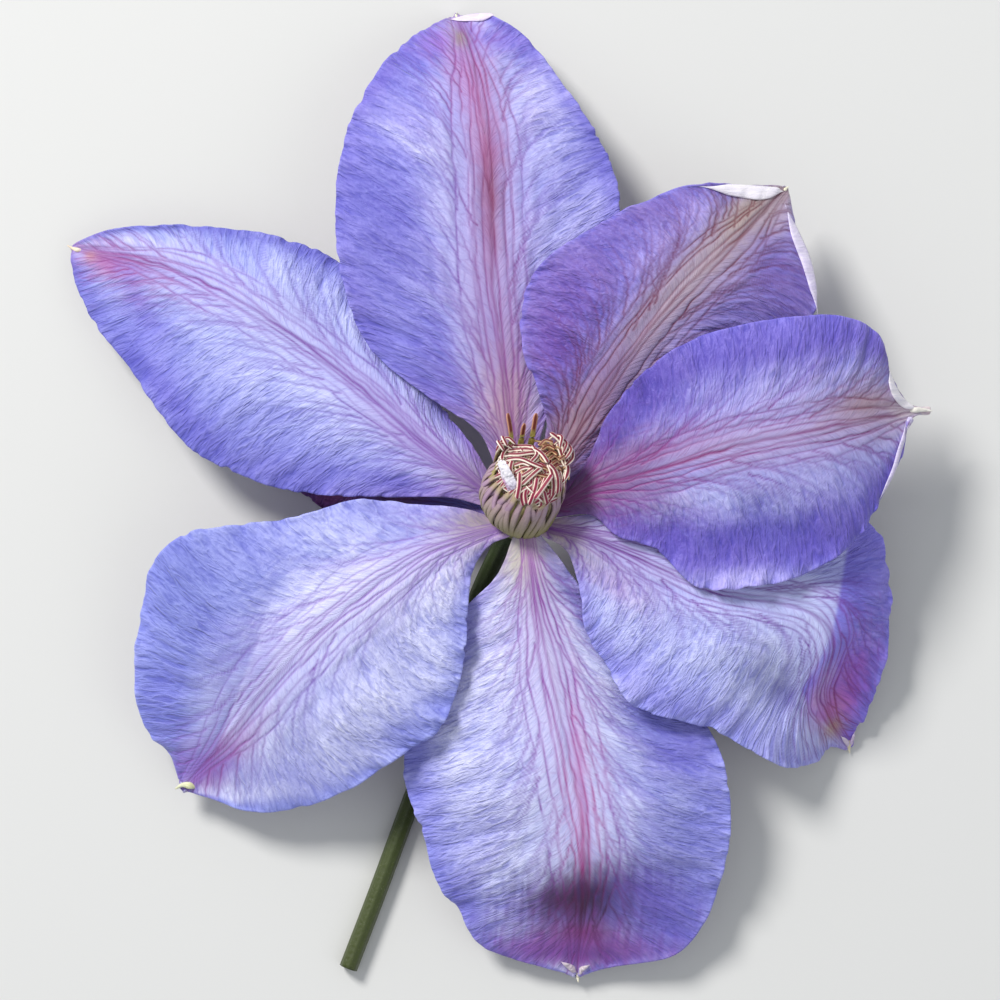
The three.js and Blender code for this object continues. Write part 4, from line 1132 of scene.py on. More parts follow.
bottom_tepal = dict(
    PLAIN_TEPAL, azimuth=-82.5, claw=4.5, flare=0.6, seed=505,
    bar=5.2, bar_depth=[(0, 0.8), (0.4, 0.45), (0.85, 0.35), (0.95, 0)],
    field=((0.3, 0.75), (0.65, 1.15)), vein_turn=56, vein_gap=3.8, vein_depth=0.85, pucker=0.7,
    waves=[(0.5, 3, 0.7), (0.5, 3, 0.3)],
    swells=[(-5, -46, 8, 1.4), (21, -52, 9, 1.4)],
    folds=[
        ((206, 190, 204), [(6.2, -76.6, 6.4, -76.5), (7.6, -77.9, 8.3, -77.2), (9, -79.2, 9.2, -78)]),
        ((212, 198, 206), [(11.5, -77.3, 11.2, -77.1), (10.3, -78.3, 9.8, -77.6), (9.5, -79.4, 9.4, -78.2)]),
    ],
    spur=[(9.3, -78.4), (9.3, -79.5), (9.4, -80.3)], spur_radius=0.4,
    tones=dict(pale=(202, 206, 252), side=(134, 138, 222), margin=(142, 145, 228), bar=(204, 190, 240),
               claw=(206, 182, 212), back=(192, 184, 220), spur=(226, 220, 196),
               vein=(150, 76, 170), outer_vein=(104, 92, 190)),
    blushes_and_painted_light=[
        (9.7, -47.7, 14, 1.1, 94, (196, 104, 184), 0.5),
        (23.9, -41.1, 7.2, 5, 40, (112, 108, 206), 0.55),
        (-8.7, -32, 9.9, 6.6, 90, (184, 188, 246), 0.4),
        # Painted shade, deep violet, across the end where the blade bends down; the maroon blotch lies over
        # it.
        (10.2, -68, 21, 5.2, 0, (104, 90, 190), 0.85),
        (12.7, -73.3, 17, 3.4, 0, (128, 100, 200), 0.6),
        (11.4, -64.8, 8.6, 4.6, 0, (44, 12, 46), 0.96),
        (6.1, -65.5, 5.4, 2.8, 12, (64, 26, 72), 0.85),
        (9.9, -71.8, 6.2, 3.2, 0, (132, 44, 112), 0.9),
        (9.4, -74.2, 10, 2, 0, (140, 76, 160), 0.85),
        (1.2, -74.1, 5, 1.6, -12, (138, 84, 180), 0.6),
        (-15.3, -48.5, 6, 3, 95, (140, 142, 226), 0.5),
        (12.7, -8.9, 8, 3, 70, (182, 172, 234), 0.3),
        (-8.7, -61.7, 6, 3, 60, (132, 130, 218), 0.4),
        (17.3, -63.4, 5, 2.8, -20, (74, 46, 116), 0.7),
        (10.1, -74.4, 9, 1.8, 0, (150, 88, 170), 0.8),
        (30, -55.1, 3.6, 8, 0, (176, 178, 255), 0.5),
        (10.1, -75.4, 15, 2.4, 0, (112, 72, 152), 0.9),
        (21.8, -65, 6, 6, 0, (112, 104, 204), 0.5),
        (28.9, -39.9, 4, 4, 0, (100, 96, 196), 0.5),
        (-0.7, -8.2, 3.6, 5.5, 0, (176, 170, 148), 0.75),
        (22.9, -66.3, 6, 6, 0, (100, 90, 190), 0.5),
        (-7.9, -54.8, 6, 8, 0, (130, 130, 215), 0.3),
    ],
    stains=[
        (9.7, -52.6, 16, 3.8, 92, (176, 18, 122), 0.95),
        (11.1, -67.5, 9, 7, 0, (48, 8, 36), 0.93),
    ],
    stations=[
        ((1.5, -10.8, 20.2), (6.1, -9.4, 18.4), (-3.8, -11.2, 18.8)),
        ((2.8, -17.8, 18.8), (10.7, -15.5, 15.8), (-9.4, -17.3, 16.6)),
        ((4.3, -25.4, 17.6), (17.4, -23.5, 14.2), (-11.8, -24.8, 14.6)),
        ((5.9, -33.3, 16.6), (24.7, -31.7, 13), (-15.8, -33.2, 13.4)),
        ((7.6, -41.2, 15.6), (30.9, -37.5, 12.2), (-19.3, -40.5, 12.2)),
        ((9.1, -48.7, 14.2), (33.8, -46.2, 11.4), (-19, -47.6, 11.6)),
        ((10.1, -55.8, 12.4), (34.3, -53.7, 10.2), (-16.3, -54.5, 10.6)),
        ((10.5, -62.3, 10.2), (33.2, -61.1, 8.6), (-14.2, -62.8, 9)),
        ((10.2, -68.4, 7.6), (30.6, -68.8, 6.8), (-10.2, -68.3, 7)),
        ((9.6, -73.4, 5), (25.9, -74.9, 5), (-6.5, -73.9, 5)),
        ((9.3, -76.4, 3.4), (15, -77.4, 3.6), (3.4, -77.4, 3.6)),
        ((9.1, -79.4, 2), (9.4, -78.9, 2.2), (8.8, -78.9, 2.2)),
    ])
put_on_flower(make_tepal("blade_bottom", bottom_tepal), "tepal_bottom", lavender)


# ---------------------------------------------------------------------------------------- lower left tepal
# The broadest tepal, nearly level, with a blue outer lobe. One margin curls under at one place, and its tip
# is a crumpled cream horn.

lower_left_tepal = dict(
    PLAIN_TEPAL, azimuth=-139, claw=4.4, flare=0.5, seed=606,
    bar=5.0, bar_depth=[(0, 0.8), (0.3, 0.45), (0.7, 0.3), (1, 0.6)],
    field=((0.75, 1.4), (0.12, 0.55)), vein_turn=48, vein_gap=4.5, vein_depth=0.8, pucker=0.65,
    waves=[(0.6, 3, 0.4), (0.6, 4, 0.1)],
    swells=[(-50, -24, 9, 1.6), (-30, -35, 9, 1.2)],
    lips=[(1, 0.49, 0.61, 2.2, -0.8)],
    spur=[(-54.3, -47.3), (-55.8, -46.9), (-57, -46.8), (-58.3, -47.5)], spur_radius=0.8,
    tones=dict(pale=(206, 209, 254), side=(128, 138, 212), margin=(140, 148, 228), bar=(192, 184, 240),
               claw=(182, 126, 180), back=(188, 182, 222), spur=(214, 216, 168),
               vein=(136, 88, 182), outer_vein=(106, 106, 194)),
    blushes_and_painted_light=[
        # Painted shade on the outer lobe, where it turns away from the light.
        (-52.5, -17.2, 8, 7, 0, (116, 124, 196), 0.6),
        (-48.7, -22.1, 4, 5, 0, (120, 126, 206), 0.5),
        (-45, -8.9, 8, 3, 20, (136, 144, 222), 0.5),
        (-59.9, -32, 8, 4, 90, (130, 132, 224), 0.5),
        (-51.3, -43.6, 4.8, 2.6, 42, (146, 60, 142), 0.85),
        (-47.4, -39.9, 6, 2, 48, (164, 112, 186), 0.55),
        (-55.8, -42.7, 4, 3, 50, (136, 94, 192), 0.65),
        (-30.2, -18, 14.9, 7.4, 40, (220, 221, 255), 0.5),
        (-15.3, -23.8, 8, 6, 60, (196, 200, 252), 0.5),
        (-21.1, -37.8, 6, 2.4, 20, (128, 134, 216), 0.45),
        (-36.8, -45.2, 8, 2.4, 0, (184, 188, 250), 0.3),
        (-43.1, -25.7, 8, 1.6, 62, (160, 156, 232), 0.5),
        (-36.8, -15.5, 6, 4, 60, (216, 218, 255), 0.5),
        (-29.4, -23.8, 9, 5, 50, (198, 202, 250), 0.35),
        (-36.8, -30.4, 7, 4, 40, (176, 178, 238), 0.35),
        (-48, -9.2, 7, 3, 10, (128, 134, 210), 0.45),
        (-28.5, -4, 12, 4, 8, (196, 200, 252), 0.5),
        (-43.1, -44.6, 9, 3, -10, (136, 138, 222), 0.5),
        (-7.8, -3, 6, 3.4, 20, (162, 150, 140), 0.7),
        (-50.8, -43.2, 5, 4, 0, (122, 112, 205), 0.35),
    ],
    stains=[
        (-49.7, -42.2, 8, 3.6, 46, (140, 46, 128), 0.85),
    ],
    # Painted shade on the outer lobe, darkest at the fold line that parts it from the middle, fading over the
    # lobe.
    painted_shades=[
        ((108, 114, 196), 0.6, 7, [
            (-54, -47.2), (-51, -40.9), (-47.7, -32.7), (-44.1, -23.8), (-41.4, -15.5), (-39.8, -9.9),
            (-39.1, -5.6)]),
    ],
    stations=[
        ((-9, -5.3, 20.2), (-6.1, -6.7, 19.6), (-10, -0.7, 18.8)),
        ((-15.3, -7.5, 20.8), (-8.6, -10.9, 19.4), (-17.8, 0, 18.6)),
        ((-21.5, -11.2, 21), (-9.4, -16.5, 18.8), (-27.2, 0.8, 18.2)),
        ((-28.1, -16.1, 20.8), (-9.7, -22.9, 18.4), (-36.3, -1.8, 17.8)),
        ((-34.2, -21.2, 19.8), (-10.9, -29.3, 18), (-46.2, -3.3, 16.8)),
        ((-39.5, -26.2, 18), (-13.7, -36.1, 17.4), (-55.6, -4.8, 15)),
        ((-44, -31.4, 15.6), (-19.7, -40.5, 15.4), (-61.2, -9.5, 13)),
        ((-47.5, -36, 13), (-28.4, -46.5, 12.4), (-63.7, -19.6, 11.2)),
        ((-50.5, -40, 10.4), (-37.2, -50.2, 9.6), (-64.4, -31, 9.2)),
        ((-53.5, -43.3, 7.8), (-45.7, -50.9, 7.4), (-62.4, -38.1, 7.4)),
        ((-55.5, -45.4, 6.2), (-52.1, -48.9, 6.2), (-59.3, -41.2, 6.4)),
        ((-57.3, -47.7, 4.8), (-56.9, -47.8, 5), (-57.4, -47.2, 5)),
    ])
put_on_flower(
    make_tepal("blade_lower_left", lower_left_tepal), "tepal_lower_left", lavender)


# ---------------------------------------------------------------------------------------------- left tepal
# A tepal that droops evenly from its claw to a pointed rose tip, which ends just clear of the floor. It is
# the plainest of the blades, with a pale middle and a darker margin.

left_tepal = dict(
    PLAIN_TEPAL, azimuth=150, claw=3.4, flare=0.3, seed=707,
    bar=3.8, bar_depth=[(0, 0.8), (0.4, 0.4), (0.8, 0.4), (1, 0.6)],
    field=((0.3, 0.85), (0.4, 1.0)), vein_turn=50, vein_gap=3.6, vein_depth=0.85, pucker=0.65,
    waves=[(0.5, 3, 0.5), (0.4, 3, 0.1)],
    swells=[(-44, 36, 9, 1.2), (-48, 15, 8, 1)],
    spur=[(-73.8, 43.1), (-74.9, 43.1), (-75.8, 43.4), (-76.7, 43.9)], spur_radius=0.5,
    tones=dict(pale=(174, 181, 238), side=(128, 133, 215), margin=(112, 113, 202), bar=(174, 158, 220),
               claw=(176, 114, 172), back=(190, 182, 220), spur=(232, 214, 190),
               vein=(128, 80, 170), outer_vein=(96, 90, 190)),
    blushes_and_painted_light=[
        (-66.5, 39.9, 7.5, 2.6, -18, (140, 96, 176), 0.7),
        (-70.1, 40.9, 3.6, 2.2, -20, (164, 84, 144), 0.7),
        (-72.6, 42.1, 1.1, 0.8, 0, (206, 150, 130), 0.6),
        (-57.9, 17.5, 13.2, 2.8, -50, (98, 92, 196), 0.6),
        (-22.8, 4.3, 9.9, 1.2, -12, (86, 78, 186), 0.5),
        # A painted highlight along the lit ridge of the lower side.
        (-36.8, 22.1, 14.9, 5, -38, (198, 202, 252), 0.6),
        (-64, 34, 7, 2.4, -58, (122, 108, 206), 0.6),
        (-41.7, 17.5, 9, 4, -40, (150, 154, 232), 0.4),
        (-20.3, 12.2, 8, 3, -42, (158, 142, 206), 0.4),
        (-45, 39.3, 9, 3.4, -20, (156, 162, 226), 0.45),
        (-40.1, 29.9, 12, 2.6, -35, (198, 202, 252), 0.45),
        (-61.5, 25.7, 8, 2, -48, (150, 150, 232), 0.5),
        (-8.1, 3.3, 5, 3.4, -30, (164, 148, 166), 0.6),
    ],
    stains=[
        (-66.8, 39.9, 11, 4.8, -18, (146, 34, 112), 0.9),
    ],
    stations=[
        ((-10.1, 5.6, 16.6), (-12.1, 1.7, 16.2), (-8.4, 9.4, 14.8)),
        ((-16.2, 10.2, 16.4), (-22, 1.7, 15.6), (-13.1, 16.3, 13.2)),
        ((-22.8, 16.2, 15.8), (-31.9, 2, 14.8), (-16.4, 23.9, 12.2)),
        ((-29.4, 21.5, 15.2), (-39.9, 3.1, 13.8), (-20.1, 31.3, 11.8)),
        ((-36.1, 26.8, 14.4), (-48.3, 6, 12.2), (-25.8, 37.6, 11.4)),
        ((-43.3, 31.7, 13.2), (-55.5, 10, 10.4), (-33, 42, 10.8)),
        ((-50.4, 35.9, 11.6), (-61.5, 17.5, 8.6), (-43, 45, 10)),
        ((-57.2, 39.2, 9.6), (-67.1, 25.1, 7), (-53.1, 46.6, 8.4)),
        ((-63.2, 41, 7.6), (-72.1, 31.5, 5.6), (-62.5, 46.7, 6.8)),
        ((-69, 42.1, 5.4), (-74.6, 36.8, 4.2), (-69, 46.2, 5)),
        ((-73.2, 42.9, 3.6), (-75.6, 40.4, 3.2), (-73, 44.9, 3.8)),
        ((-76, 43.5, 2.2), (-75.8, 43.1, 2.4), (-75.8, 43.8, 2.4)),
    ])
put_on_flower(make_tepal("blade_left", left_tepal), "tepal_left", lavender)


# ----------------------------------------------------------------------------------------- back left tepal
# A narrow tepal that grows lower on the cup and lies under its neighbours, so that only a strip of it
# shows, painted dark as the shade it lies in. Its end rests on the floor.

back_left_tepal = dict(
    PLAIN_TEPAL, azimuth=183, claw=2.4, drop=2, flare=0.2, seed=808,
    bar=2.0, bar_depth=[(0, 0.4), (1, 0.6)],
    field=((0.3, 0.9), (0.3, 0.9)), vein_turn=40, vein_gap=3.8, vein_depth=0.6, pucker=0.6,
    spur=[(-43.2, 5.6), (-44, 5.7), (-44.5, 5.8)], spur_radius=0.3,
    # Its tints are painted dark as the shade it lies in under its neighbours.
    tones=dict(pale=(100, 90, 190), side=(75, 60, 140), margin=(90, 60, 130), bar=(110, 60, 110),
               claw=(110, 120, 200), back=(150, 140, 180), spur=(120, 90, 90),
               vein=(90, 40, 90), outer_vein=(80, 50, 120)),
    blushes_and_painted_light=[
        (-31.8, 1.5, 4.1, 2, 0, (125, 55, 110), 0.9),
        (-20.3, 1.5, 4.1, 1.7, 0, (95, 50, 80), 0.8),
        (-10.4, 1, 4.1, 1.7, 0, (105, 115, 205), 0.8),
    ],
    stations=[
        ((-11.3, 0.5, 11.6), (-11.8, -2, 11), (-10.8, 3, 11.2)),
        ((-17.2, 1.2, 9), (-17.9, -3.2, 8), (-16.5, 5.3, 8.4)),
        ((-23.1, 1.8, 6), (-24.3, -3.5, 5), (-22.6, 7.2, 5.4)),
        ((-28.8, 2.7, 3), (-29.8, -2.4, 2.2), (-28.8, 8.4, 2.4)),
        ((-33.4, 3.4, 1), (-33.4, -0.2, 0.6), (-33.9, 8.4, 0.8)),
        ((-37.7, 4.4, 0.3), (-37.3, 2.4, 0.3), (-38, 7.4, 0.3)),
        ((-41.1, 5.1, 0.3), (-40.4, 3.9, 0.3), (-41.1, 6.6, 0.3)),
        ((-43.8, 5.7, 0.3), (-43.6, 5.4, 0.3), (-43.8, 6.1, 0.3)),
    ])
put_on_flower(make_tepal("blade_back_left", back_left_tepal), "tepal_back_left", violet)


# ---------------------------------------------------------------------------------------------- stamens
# The stamens grow in rings from the rim of the cup. A filament is a flat pale strap that swells out into the
# side of the boss, and its anther is a narrow strip, crimson with two cream edges, that curls over the top.
# Each is drawn along a path of its own and keeps its flat side outwards.

STAMEN_RINGS = 30
FILAMENT_WIDTH, FILAMENT_SWELL = 0.82, 0.3      # at its ends, and how much more halfway
FILAMENT_THICKNESS, ANTHER_THICKNESS = 0.36, 0.42
FILAMENT_SHARE = 0.56       # of a stamen's length, the rest is anther
STRAP_ACROSS = np.array([-1, -0.72, -0.4, 0, 0.4, 0.72, 1, 0.6, 0, -0.6])       # a strap's outline, across
STRAP_OVER = np.array([0, 0.75, 0.95, 1, 0.95, 0.75, 0, -0.7, -0.8, -0.7])      # and through its thickness
TOP_BEGINS, TOP_ENDS = 8.0, 11.5      # up the axis, where a strap goes over from facing out to facing up
DOME_HEIGHT = 7.0           # up the cup's axis to the middle of the dome that the anthers lie on
DOME_RADIUS = 6.0
DOME_CENTRE = CUP_CENTRE + DOME_HEIGHT * CUP_AXIS

# Tints of a filament: its middle, its edges and its foot.
FILAMENT = (colour(176, 146, 166), colour(112, 70, 98), colour(158, 152, 94))
BACK_FILAMENT = (colour(168, 152, 128), colour(120, 104, 76), colour(150, 142, 88))
GREEN_FILAMENT = (colour(196, 190, 96), colour(158, 148, 70), colour(176, 168, 122))
BARE_FILAMENT = (colour(196, 188, 108), colour(150, 138, 74), colour(176, 168, 122))
FILAMENT_NECK = colour(176, 164, 92)

# Tints of an anther: its middle and its edges.
ANTHER = (colour(128, 30, 54), colour(255, 244, 228))
BRIGHT_ANTHER = (colour(142, 22, 62), colour(250, 230, 216))
DULL_ANTHER = (colour(114, 44, 32), colour(222, 188, 146))
RIPE_ANTHER = (colour(116, 42, 32), colour(206, 152, 120))

# Rings of stamens from the outside in: how many, how far out they start, how far out they belly, and between
# which angles off the axis their anthers begin.
STAMEN_ROWS = [(48, 5.1, 6.6, 66, 80), (38, 4.5, 6.1, 50, 70), (26, 3.6, 5.4, 30, 50), (16, 2.4, 4.2, 10, 30)]
LOOSE_ANTHERS, LOOSE_RINGS = 70, 14
TANGLED_STAMENS = 14

# Single stamens, by where they stand round the cup in degrees.
STANDING = [(119, 2.2, 15.6), (102, 0.2, 14.4), (87, 1.2, 15.8)]        # how far out and up the tip is
BARE = [20, 8, -4, 148, 156, 164, 172]
TURNED_IN = [(176, 1.0, 9), (188, 0.95, 15), (198, 1.02, 3), (209, 0.96, 13), (219, 1.0, -5),
             (229, 0.97, 8)]                                            # how full, and how far it leans round
LOOPED = [(132, 24, 7.0, 13.6), (142, -20, 6.8, 12.8), (150, -22, 6.6, 12.0), (124, 22, 6.9, 13.9),
          (72, -38, 7.2, 14.0), (60, -34, 7.4, 13.2), (48, -30, 7.6, 12.6),
          (38, -26, 7.6, 11.6)]                                         # how far it swings round, out and up

# The anthers on top: their places as seen from above, how far off the dome they stand, their width and tints.
LAID_ANTHERS = [
    ([(4.2, 6.8), (5.1, 5.8), (5.6, 4.1), (5.4, 1.9)], 0.5, 0.8, ANTHER),
    ([(4.4, 12), (5.6, 11.1), (6.5, 9.9), (7.1, 6.9), (6.8, 4.3)], 1.1, 0.85, ANTHER),
    ([(5.6, 10.2), (6.2, 8.5), (6.7, 6.4), (6.3, 3.8)], 0.5, 0.8, ANTHER),
    ([(1.7, 9.4), (3, 8.5), (4, 7)], 0.7, 0.8, ANTHER),
    ([(-3.5, 7.5), (-3, 9), (-1.5, 10)], 0.6, 0.75, ANTHER),
    ([(-3, 8.2), (-0.7, 8.4), (1.9, 8.7)], 0.45, 0.78, ANTHER),
    ([(-2.5, 9), (-0.5, 9.2), (1.6, 9.1)], 0.2, 0.75, ANTHER),
    ([(-1.7, 9.8), (0.1, 9.8), (1.6, 9.6)], 0.35, 0.75, ANTHER),
    ([(-2.8, 7.5), (-0.5, 7.7), (1.5, 6.9), (3.1, 6.2)], 0.7, 0.8, ANTHER),
    ([(1.5, 9.8), (2.2, 8.4), (1.1, 7)], 0.5, 0.7, ANTHER),
    ([(4, 6.9), (4.6, 5.4), (4.9, 3.3), (4.7, 1.7)], 0.25, 0.78, ANTHER),
    ([(-1.8, 7.4), (-2.1, 6), (-1.7, 4.4)], 0.5, 0.75, ANTHER),
    ([(-1.5, 6.6), (-0.1, 7), (1.1, 6.6)], 0.3, 0.72, ANTHER),
    ([(-1.4, 5.4), (0.1, 6.2), (1.7, 6.2)], 0.1, 0.72, ANTHER),
    ([(2.9, 6.3), (1.5, 5.1), (-0.2, 3.5)], 0.6, 0.8, ANTHER),
    ([(1.6, 6.1), (0.6, 5.4), (-0.7, 4.6)], 0.25, 0.72, ANTHER),
    ([(-0.6, 5.4), (-0.7, 3.3), (-1, 1.2)], 0.6, 0.82, BRIGHT_ANTHER),
    ([(4.6, 5.1), (3.3, 3.2), (1.8, 1.2)], 0.7, 0.85, BRIGHT_ANTHER),
    ([(2.2, 4.6), (1.9, 2.8), (0.9, 0.2)], 0.4, 0.8, BRIGHT_ANTHER),
    ([(3.6, 4.6), (2.9, 2.8), (2.5, 2.3)], 0.3, 0.75, BRIGHT_ANTHER),
    ([(3.3, 2.4), (3.6, 1.3), (3.8, 0.5)], 0.35, 0.78, BRIGHT_ANTHER),
    ([(0.6, 3.3), (0.3, 1.8), (0.5, 0.4)], 0.2, 0.78, BRIGHT_ANTHER),
    ([(-0.2, 2.7), (-0.3, 1.3), (0, 0.1)], 0.1, 0.74, BRIGHT_ANTHER),
    ([(2.6, 2), (2.9, 0.8), (2.5, -0.6)], 0.1, 0.74, BRIGHT_ANTHER),
    ([(4.3, 2.8), (4.2, 1.5), (4.4, 1)], 0.15, 0.76, BRIGHT_ANTHER),
    ([(-1.5, 3.3), (-1.3, 2.3), (-1.5, 1.3)], 0.1, 0.72, BRIGHT_ANTHER),
    ([(1.3, 4.3), (1.1, 2.8), (0.6, 1.9)], 0.15, 0.75, BRIGHT_ANTHER),
    ([(2.7, 9.9), (3.6, 10.7), (4.9, 10.4)], 0.6, 0.62, DULL_ANTHER),
    ([(3, 9.2), (4.1, 9.8), (5.2, 9.3)], 0.45, 0.6, DULL_ANTHER),
    ([(3.6, 8.3), (4.7, 8.9), (5.6, 8.4)], 0.35, 0.6, DULL_ANTHER),
    ([(4.2, 7.6), (5.2, 8.1), (6, 7.6)], 0.35, 0.6, DULL_ANTHER),
    ([(4.6, 6.8), (5.5, 7.3), (6.1, 6.8)], 0.35, 0.6, DULL_ANTHER),
    ([(4.9, 6), (5.6, 6.5), (6.2, 5.9)], 0.3, 0.6, DULL_ANTHER),
    ([(3.3, 8.7), (2.9, 7.8), (3.6, 7.1)], 0.2, 0.6, DULL_ANTHER),
]


def fullness(around):
    """The boss bulges less on the right of the flower, and more on the left."""
    return 1 - 0.15 * np.cos(np.radians(around - 10))


def strap(path, width, thickness, twist=0.0):
    """Points of a flat strip along a path, with its back to the boss."""
    along = unit(np.gradient(path, axis=0))
    from_axis = path - CUP_CENTRE
    up = from_axis @ CUP_AXIS
    outward = unit(from_axis - up[:, None] * CUP_AXIS)
    over = np.clip((up - TOP_BEGINS) / (TOP_ENDS - TOP_BEGINS), 0, 1)[:, None]
    outward = unit(outward * (1 - over) + CUP_AXIS * over * 1.3 + 0.001)
    side = unit(np.cross(along, outward))
    face = np.cross(side, along)
    if twist:
        turn = np.linspace(0, 1, len(path))[:, None] ** 3 * twist
        side, face = side * np.cos(turn) + face * np.sin(turn), face * np.cos(turn) - side * np.sin(turn)
    return (path[:, None] + STRAP_ACROSS[None, :, None] * side[:, None] * (width / 2)[:, None, None]
            + STRAP_OVER[None, :, None] * face[:, None] * (thickness / 2)[:, None, None])


def striped(middle, edges):
    """The tints across a strap with a stripe along its middle."""
    return mixed(middle, edges, ease(np.abs(STRAP_ACROSS), 0.42, 0.62)[None, :, None])


def anther_tints(middle, edges):
    """A striped face and a plain dull back."""
    return np.where((STRAP_OVER < -0.1)[None, :, None], edges * 0.8, striped(middle, edges))


def stamen(places, filament, anther, anther_width, twist=0.0, share=FILAMENT_SHARE):
    """The points and tints of one stamen, from places in the cup's frame (out, around, up)."""
    s = np.linspace(0, 1, STAMEN_RINGS)
    path = guide_curve([cup_point(*place_on) for place_on in places])(s)
    in_anther = ease(s, share - 0.03, share + 0.03)
    at_end = ease(s, 0.95, 1.0)
    width = mixed(FILAMENT_WIDTH + FILAMENT_SWELL * np.sin(math.pi * np.clip(s / share, 0, 1)),
                  anther_width * (1 - 0.5 * at_end), in_anther)
    thickness = mixed(FILAMENT_THICKNESS, ANTHER_THICKNESS * (1 - 0.4 * at_end), in_anther)
    middle, edge, foot = filament
    strip = mixed(middle, edge, 0.7 * ease(np.abs(STRAP_ACROSS), 0.35, 0.95)[None, :, None])
    strip = mixed(foot, strip, ease(s, 0.02, 0.46)[:, None, None])
    strip = mixed(strip, FILAMENT_NECK, 0.6 * ease(s, share - 0.2, share - 0.05)[:, None, None])
    return (strap(path, width, thickness, twist),
            mixed(strip, anther_tints(*anther), in_anther[:, None, None]))


def laid_anther(places, lift, width, tones, rings=18):
    """An anther that lies over the dome: its places are seen from above, its height follows the dome."""
    places = np.array(places)
    off = np.sum((places - DOME_CENTRE[:2]) ** 2, axis=1)
    heights = DOME_CENTRE[2] + np.sqrt(np.maximum((DOME_RADIUS + lift) ** 2 - off, 1.0))
    s = np.linspace(0, 1, rings)
    from_middle = guide_curve(np.column_stack([places, heights]))(s) - DOME_CENTRE
    far = np.maximum(np.linalg.norm(from_middle, axis=1), DOME_RADIUS + lift)
    path = DOME_CENTRE + unit(from_middle) * far[:, None]
    taper = 0.45 + 0.55 * ease(np.minimum(s, s[::-1]), 0.0, 0.06)
    return strap(path, width * taper, 0.44 * taper), anther_tints(*tones)


def over_dome(around, start, heading, length, depth, count=6):
    """Places along an arc over the dome: from an angle off its axis, heading off the way to its top."""
    polar, turn = math.radians(start), math.radians(around)
    radius = DOME_RADIUS + 0.3 - depth
    step = length / DOME_RADIUS / (count - 1)
    places = []
    for _ in range(count):
        out = max(radius * math.sin(polar), 0.15)
        places.append((out, math.degrees(turn), DOME_HEIGHT + radius * math.cos(polar)))
        polar -= step * math.cos(heading)
        turn += step * math.sin(heading) / max(math.sin(polar), 0.25)
        heading *= 1.12
    return places


rng = np.random.default_rng(17)
boss = []
for ring, (count, start_out, belly, nearest, farthest) in enumerate(STAMEN_ROWS):
    for i in range(count):
        around = 360 * (i + 0.5 * ring) / count + rng.uniform(-2.5, 2.5)
        full = fullness(around) + rng.uniform(-0.03, 0.03)
        start = rng.uniform(nearest, farthest)
        depth = rng.uniform(0.0, 0.7) + 0.25 * ring
        heading = rng.choice([-1, 1]) * rng.uniform(0.1, 1.2)
        lean = rng.uniform(-11, 11)
        low = [(start_out, around, -1.0), ((belly - 0.55) * full, around, 1.6),
               (belly * full, around + lean * 0.4, 4.4),
               (belly * (0.5 + 0.5 * full) - 0.1, around + lean, DOME_HEIGHT)]
        top = over_dome(around + lean * 1.4, start, heading, rng.uniform(3.6, 4.8), depth)
        tones = ANTHER if rng.uniform() < 0.6 else BRIGHT_ANTHER
        boss.append(stamen(low + top, FILAMENT if ring == 0 else BACK_FILAMENT, tones, rng.uniform(0.66, 0.8),
                           rng.uniform(-0.3, 0.3)))
for _ in range(LOOSE_ANTHERS):
    turn, polar = rng.uniform(0, 360), math.degrees(math.acos(rng.uniform(0.3, 1)))
    top = over_dome(turn, polar, rng.uniform(-3.1, 3.1), rng.uniform(3.0, 4.4), rng.uniform(0.2, 0.9))
    middle, edges = DULL_ANTHER if rng.uniform() < 0.4 else ANTHER
    path = guide_curve([cup_point(*place_on) for place_on in top])(np.linspace(0, 1, LOOSE_RINGS))
    even = np.ones(LOOSE_RINGS)
    # These anthers lie below the top layer, and their cream edges are painted a little darker as shade.
    boss.append((strap(path, 0.7 * even, 0.4 * even), striped(middle, edges * 0.92)))
for laid in LAID_ANTHERS:
    boss.append(laid_anther(*laid))

# At the top of the flower some stamens stand up and turn outwards. At either side some filaments are bare, at
# the left some turn in over the rim, and others curl into open loops or tangle.
for around, splay, tall in STANDING:
    boss.append(stamen([
        (4.75, around, -0.1), (5.8, around, 2.8), (6.4, around, 6.2), (6.5, around, 9.0), (6.6, around, 11.4),
        (6.6 + splay * 0.4, around, tall - 2.2), (6.6 + splay, around, tall)],
        GREEN_FILAMENT, RIPE_ANTHER, 0.86, share=0.76))
for around in BARE:
    boss.append(stamen([
        (4.8, around, -0.6), (5.4, around, 2.4), (5.75, around, 5.2), (5.8, around, 7.6),
        (5.8, around + 3, 9.6), (5.5, around + 6, 11.0)], BARE_FILAMENT, ANTHER, 0.7, share=0.9))
for around, full, lean in TURNED_IN:
    out = full * fullness(around)
    boss.append(stamen([
        (5.1, around - lean, -0.6), (6.0 * out, around - lean * 0.6, 2.2), (6.5 * out, around, 5.0),
        (6.2 * out, around + lean, 7.6), (5.4 * out, around + lean * 1.5, 9.6),
        (4.3 * out, around + lean * 2, 11.0)], FILAMENT, ANTHER, 0.66, share=0.84))
for around, swing, out, tall in LOOPED:
    boss.append(stamen([
        (4.75, around, -0.1), (5.9, around, 3.2), (6.4, around, 6.6), (6.6, around + swing * 0.1, 9.6),
        (out, around + swing * 0.3, 11.8), (out - 0.4, around + swing * 0.7, tall - 0.3),
        (out - 1.8, around + swing, tall - 0.8)], FILAMENT, ANTHER, 0.66))
